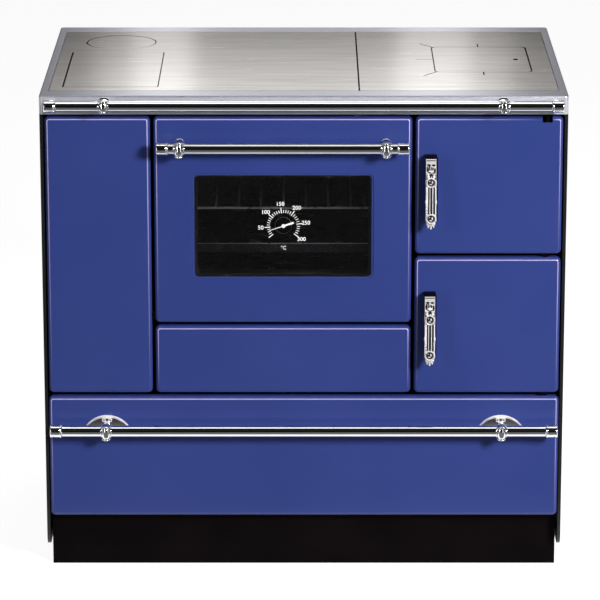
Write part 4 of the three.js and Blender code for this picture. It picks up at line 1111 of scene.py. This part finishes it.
def key_slot():
    """The slot for the lifting key, near the firebox cover's right edge."""
    low, high, middle, _ = measure("firebox_cover")
    centre = Vector((high.x - KEY_INSET, middle.y, 0))
    return plan_solid(
        centre - KEY_HALF, centre + KEY_HALF, 2 * MM, low.z - REACH_PAST, high.z + REACH_PAST)


hob_frame()
plate("hob_plate_left", [
    ("flue_cover", None, FLUE_GAPS), ("cleaning_cover", CLEANING_CORNER, CLEANING_GAPS)])
plate("hob_plate_right", [("firebox_cover", FIREBOX_CORNER, FIREBOX_GAPS)], fire_slots())
disc_cover("flue_cover")
lid_cover("cleaning_cover", CLEANING_CORNER)
lid_cover("firebox_cover", FIREBOX_CORNER, [key_slot()])


# ---------------------------------------------------------------- oven door glass and dial
PANE_CHAMFER = 0.8 * MM
HUB_HOLE = 4.3 * MM
PRINT_DEPTH = 0.12 * MM
PRINT_GAP = 0.02 * MM
DIAL_START = 219.6  # angles of the scale's long marks, in degrees
DIAL_MAJORS = (185.0, 141.3, 98.1, 54.1, 7.8, -37.3)
DIAL_STEP = 50
MAJOR_MARK = (22.5 * MM, 32.5 * MM)  # distance of a mark's ends from the dial's middle
MINOR_MARK = (23.2 * MM, 28.6 * MM)
START_WIDTH = 1.7 * MM
MAJOR_WIDTH = 1.6 * MM
MINOR_WIDTH = 1.2 * MM
NUMBER_REACH = 39 * MM
NUMBER_SIZE = 10 * MM
UNIT_SIZE = 9 * MM
STROKE_SPREAD = 0.2 * MM
NEEDLE_ANGLE = 198.8
NEEDLE_THICK = 0.8 * MM
# one side of the needle's outline, in millimetres: along it from its tail, and across
NEEDLE_SIDE = ((25, 0.35), (0, 1.0), (-2, 1.3), (-17.5, 1.8), (-19, 1.0))


def towards(degrees):
    """The direction at an angle on the dial's face."""
    angle = math.radians(degrees)
    return Vector((math.cos(angle), 0, math.sin(angle)))


def oven_glass():
    low, high, middle, size = measure("oven_door_glass")
    rings = [
        front_ring(middle, size.x, size.z, WINDOW_CORNER, y, inset)
        for y, inset in (
            (low.y, PANE_CHAMFER), (low.y + PANE_CHAMFER, 0.0),
            (high.y - PANE_CHAMFER, 0.0), (high.y, PANE_CHAMFER))]
    pane = make_object("oven_glass_pane", *loft(rings))
    hub = measure("thermometer_case")[2]
    hole = [(HUB_HOLE, low.y - REACH_PAST), (HUB_HOLE, high.y + REACH_PAST)]
    carve(pane, [lathe(hole, (hub.x, 0, hub.z), (0, 1, 0))])
    dress(pane, GLASS, "oven_door", ["oven_door_glass"])


def dial():
    """White scale marks and numbers printed on the glass."""
    centre = measure("thermometer_case")[2]
    centre.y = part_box("oven_door_glass")[0].y

    def strip(degrees, ends, width):
        along = towards(degrees)
        side = Vector((-along.z, 0, along.x)) * width / 2
        inner, outer = ends[0] * along, ends[1] * along
        ring = (inner - side, outer - side, outer + side, inner + side)
        levels = (Vector((0, -PRINT_GAP, 0)), Vector((0, -PRINT_DEPTH, 0)))
        return loft([[centre + point + level for point in ring] for level in levels])

    marks = [strip(DIAL_START, MAJOR_MARK, START_WIDTH)]
    previous = DIAL_START
    for major in DIAL_MAJORS:
        divisions = 4 if previous == DIAL_START else 5
        for i in range(1, divisions):
            degrees = previous + (major - previous) * i / divisions
            marks.append(strip(degrees, MINOR_MARK, MINOR_WIDTH))
        marks.append(strip(major, MAJOR_MARK, MAJOR_WIDTH))
        previous = major
    dress(join_parts("dial_marks", marks), PRINT, "oven_door")
    for number, major in enumerate(DIAL_MAJORS):
        text = str(DIAL_STEP * (number + 1))
        write(f"dial_{text}", text, centre + NUMBER_REACH * towards(major), NUMBER_SIZE)
    write("dial_unit", "°C", centre - Vector((0, 0, NUMBER_REACH)), UNIT_SIZE)


def write(name, text, place, size):
    """Printed characters, as a thin mesh on the glass."""
    curve = bpy.data.curves.new(name, "FONT")
    curve.body = text
    curve.size = size
    curve.align_x = "CENTER"
    curve.align_y = "CENTER"
    curve.extrude = PRINT_DEPTH / 2
    curve.offset = STROKE_SPREAD
    curve.resolution_u = 3
    letters = add_object(name, curve)
    letters.rotation_euler = (math.pi / 2, 0, 0)
    letters.location = place - Vector((0, PRINT_DEPTH / 2 + PRINT_GAP, 0))
    mesh = evaluated_mesh(letters)
    mesh.transform(letters.matrix_world)
    bpy.data.objects.remove(letters)
    dress(add_object(name, mesh), PRINT, "oven_door")


def needle():
    """The pointer: a thin tapering tip, a thicker tail and a small hub."""
    centre = measure("thermometer_case")[2]
    centre.y = 0
    low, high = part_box("thermometer_needle")
    along = towards(NEEDLE_ANGLE)
    across = Vector((-along.z, 0, along.x))
    front = high.y - NEEDLE_THICK
    shape = NEEDLE_SIDE + tuple((a, -b) for a, b in reversed(NEEDLE_SIDE))
    rings = [
        [centre + along * a * MM + across * b * MM + Vector((0, y, 0)) for a, b in shape]
        for y in (high.y, front)]
    hub = [(3.4 * MM, high.y), (3.4 * MM, front - 0.2 * MM), (2.6 * MM, low.y)]
    piece = join_parts("thermometer_pointer", [loft(rings), lathe(hub, centre, (0, 1, 0))])
    dress(piece, PRINT, "thermometer_needle", ["thermometer_needle"])


oven_glass()
dial()
needle()


# ---------------------------------------------------------------- inside the oven
RACK_WIRE = 2.2 * MM
RACK_BAR = 1.9 * MM
RACK_PITCH = 39 * MM
BAR_RISE = 0.5 * MM
TRAY_SHEET = 1.5 * MM
TRAY_RIM = 8 * MM
TRAY_CORNER = 16 * MM
TRAY_BEAD = 1.7 * MM
TRAY_EDGE = 1.2 * MM
RIM_GAP = 0.4 * MM
RIM_DEPTH = 2 * MM


def oven_rack():
    """A wire frame with bars from front to back."""
    low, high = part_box("oven_rack")
    z = high.z - RACK_WIRE
    x0, x1 = low.x + RACK_WIRE, high.x - RACK_WIRE
    y0, y1 = low.y + RACK_WIRE, high.y - RACK_WIRE
    corners = [(x0, y0, z), (x1, y0, z), (x1, y1, z), (x0, y1, z)]
    parts = [rod(a, b, RACK_WIRE) for a, b in zip(corners, corners[1:] + corners[:1])]
    parts += [ball(corner, RACK_WIRE) for corner in corners]
    middle = (x0 + x1) / 2
    count = int((x1 - middle) / RACK_PITCH)
    for i in range(-count, count + 1):
        x = middle + i * RACK_PITCH
        parts.append(rod((x, y0, z + BAR_RISE), (x, y1, z + BAR_RISE), RACK_BAR))
        parts.append(ball((x, y0, z), RACK_WIRE))
    dress(join_parts("oven_rack_wires", parts), WIRE, "casing", ["oven_rack"])


def baking_tray():
    """A pressed enamelled dish with a rolled rim."""
    low, high, middle, size = measure("baking_tray")
    floor = low.z + TRAY_SHEET
    rim = high.z - 2 * TRAY_BEAD + TRAY_SHEET
    # how far in from the outline, and how high: the inside, the bead and the underside
    section = [
        (TRAY_RIM + 14 * MM, floor), (TRAY_RIM + 7 * MM, floor),
        (TRAY_RIM + 3.5 * MM, floor + 1.5 * MM), (TRAY_RIM + 2 * MM, floor + 5 * MM),
        (TRAY_RIM + TRAY_SHEET, rim - 2 * MM), (TRAY_RIM, rim - 0.5 * MM),
        (TRAY_RIM - 1.5 * MM, rim), (2 * TRAY_BEAD, rim)]
    section += arc(TRAY_BEAD, high.z - TRAY_BEAD, TRAY_BEAD, 40, 320, 8)
    section += [
        (2 * TRAY_BEAD, rim - TRAY_SHEET), (TRAY_RIM, rim - TRAY_SHEET),
        (TRAY_RIM + TRAY_SHEET, rim - 3 * MM), (TRAY_RIM + 2 * MM, low.z + 4 * MM),
        (TRAY_RIM + 6 * MM, low.z), (TRAY_RIM + 14 * MM, low.z)]
    rings = [flat_ring(middle, size.x, size.y, TRAY_CORNER, z, inset) for inset, z in section]
    tray = make_object("baking_tray_pressed", *loft(rings))
    dress(tray, OVEN_ENAMEL, "casing", ["baking_tray"])
    # a pale rod along the front of its rim is a painted highlight
    y, z = low.y + TRAY_EDGE, high.z - TRAY_EDGE
    painted_rim_highlight = rod((low.x + TRAY_CORNER, y, z), (high.x - TRAY_CORNER, y, z), TRAY_EDGE)
    dress(make_object("baking_tray_painted_highlight", *painted_rim_highlight), WIRE, "casing")


def thermometer_rim():
    """A thin plated ring around the thermometer's case, behind the glass."""
    _, _, middle, size = measure("thermometer_case")
    radius = size.x / 2
    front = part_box("oven_door_glass")[1].y + RIM_GAP
    profile = [
        (radius - 0.3 * MM, front + RIM_DEPTH), (radius - 0.3 * MM, front),
        (radius + 0.4 * MM, front), (radius + 0.6 * MM, front + RIM_DEPTH)]
    solid = lathe(profile, (middle.x, 0, middle.z), (0, 1, 0), cyclic=True)
    dress(make_object("thermometer_rim", *solid), WIRE, "oven_door")


oven_rack()
baking_tray()
thermometer_rim()


# ---------------------------------------------------------------- plain CAD pieces
def finish_cad(names, material, edge):
    for name in names:
        obj = frame["nodes"][name]
        dress(obj, material)
        bevel(obj, edge)


finish_cad(["left_side_panel", "right_side_panel", "back_panel"], SHEET, 0.8 * MM)
finish_cad(
    ["front_frame", "middle_shelf", "plinth", "thermometer_case", "oven_hinge_left",
     "oven_hinge_right", "door_hinge_post"], BLACK, 0.8 * MM)
finish_cad(["oven_box"], OVEN_ENAMEL, 0.5 * MM)
finish_cad(
    ["firebox_casing", "grate", "soot_cover", "flue_collar", "oven_door_liner",
     "fire_door_liner", "ash_door_liner"], IRON, 0.8 * MM)
finish_cad(["firebrick_left", "firebrick_right", "firebrick_back"], BRICK, 2 * MM)
finish_cad(
    ["drawer_runner_left", "drawer_runner_right", "ash_pan", "drawer_box"], ZINC, 0.4 * MM)


# ---------------------------------------------------------------- stage, light and camera
def math_node(tree, operation, first, second):
    node = tree.nodes.new("ShaderNodeMath")
    node.operation = operation
    for socket, value in zip(node.inputs, (first, second)):
        if isinstance(value, float):
            socket.default_value = value
        else:
            tree.links.new(value, socket)
    return node.outputs[0]


def background_seen(tree, mirror_share):
    """1 where the camera looks straight at it, and a share of that in metal and glass."""
    path = tree.nodes.new("ShaderNodeLightPath").outputs
    mirrored = math_node(tree, "MAXIMUM", path["Is Glossy Ray"], path["Is Transmission Ray"])
    in_mirror = math_node(tree, "MULTIPLY", mirrored, mirror_share)
    return math_node(tree, "MAXIMUM", path["Is Camera Ray"], in_mirror)


def floor():
    """A plain pale sheet; in front of the picture's frame it fades into the dim studio."""
    mesh = bpy.data.meshes.new("floor")
    corners = ((-1, -1), (1, -1), (1, 1), (-1, 1))
    mesh.from_pydata([(x * FLOOR_SIZE, y * FLOOR_SIZE, 0) for x, y in corners], [], [(0, 1, 2, 3)])
    obj = add_object("floor", mesh)
    material = bpy.data.materials.new("floor_white")
    material.use_nodes = True
    tree = material.node_tree
    tree.nodes.clear()
    y = axes_of(tree, "Object")["Y"]

    def fade(low, high, out_low, out_high):
        return map_range(tree, y, low, high, out_low, out_high, "SMOOTHSTEP")

    pale = fade(FLOOR_DIM_AT, FLOOR_PALE_AT, FLOOR_DIM, FLOOR_PALE)
    near = fade(FLOOR_DIM_AT, FLOOR_PALE_AT, 0.0, 1.0)
    ahead = fade(MIRRORED_FROM, MIRRORED_TO, 0.0, MIRRORED)
    seen = background_seen(tree, math_node(tree, "MAXIMUM", near, ahead))
    level = math_node(tree, "SUBTRACT", 1.0, math_node(tree, "MULTIPLY", pale, FLOOR_LIT))
    diffuse = tree.nodes.new("ShaderNodeBsdfDiffuse")
    glow = tree.nodes.new("ShaderNodeEmission")
    both = tree.nodes.new("ShaderNodeAddShader")
    output = tree.nodes.new("ShaderNodeOutputMaterial")
    tree.links.new(pale, diffuse.inputs["Color"])
    tree.links.new(math_node(tree, "MULTIPLY", seen, level), glow.inputs["Strength"])
    tree.links.new(diffuse.outputs[0], both.inputs[0])
    tree.links.new(glow.outputs[0], both.inputs[1])
    tree.links.new(both.outputs[0], output.inputs["Surface"])
    mesh.materials.append(material)


def world():
    """A studio that is pale behind the stove and dim on the camera's side."""
    scene_world = bpy.data.worlds.new("studio")
    bpy.context.scene.world = scene_world
    scene_world.use_nodes = True
    tree = scene_world.node_tree
    background = tree.nodes["Background"]
    axes = axes_of(tree, "Generated")

    def fade(axis, span, out_low, out_high):
        return map_range(tree, axes[axis], *span, out_low, out_high, "SMOOTHSTEP")

    level = math_node(
        tree, "MULTIPLY", fade("Y", WORLD_BACK, WORLD_DIM, 1.0),
        fade("Z", WORLD_RISE, WORLD_LOW, WORLD_HIGH))
    white = tree.nodes.new("ShaderNodeMix")
    white.inputs["B"].default_value = 1.0
    share = fade("Y", WORLD_BACK, 0.0, WORLD_MIRRORED)
    tree.links.new(background_seen(tree, share), white.inputs["Factor"])
    tree.links.new(level, white.inputs["A"])
    tree.links.new(white.outputs["Result"], background.inputs["Strength"])
    background.inputs["Color"].default_value = (1, 1, 1, 1)


def area(name, place, target, width, height, power):
    lamp = bpy.data.lights.new(name, "AREA")
    lamp.shape = "RECTANGLE"
    lamp.size = width
    lamp.size_y = height
    lamp.energy = power
    obj = add_object(name, lamp)
    obj.location = place
    obj.rotation_euler = (Vector(target) - Vector(place)).to_track_quat("-Z", "Y").to_euler()


def camera():
    data = bpy.data.cameras.new("camera")
    data.sensor_width = SENSOR
    data.lens = FOCAL_PIXELS / IMAGE_SIDE * SENSOR
    data.shift_x = -CENTRE_OFFSET / IMAGE_SIDE
    data.clip_end = 100
    obj = add_object("camera", data)
    obj.location = (0, -CAMERA_DISTANCE, CAMERA_HEIGHT)
    obj.rotation_euler = (math.pi / 2 - CAMERA_PITCH, 0, 0)
    bpy.context.scene.camera = obj


floor()
world()
for lamp in LAMPS:
    area(*lamp)
camera()
bpy.context.scene.view_settings.view_transform = "Standard"
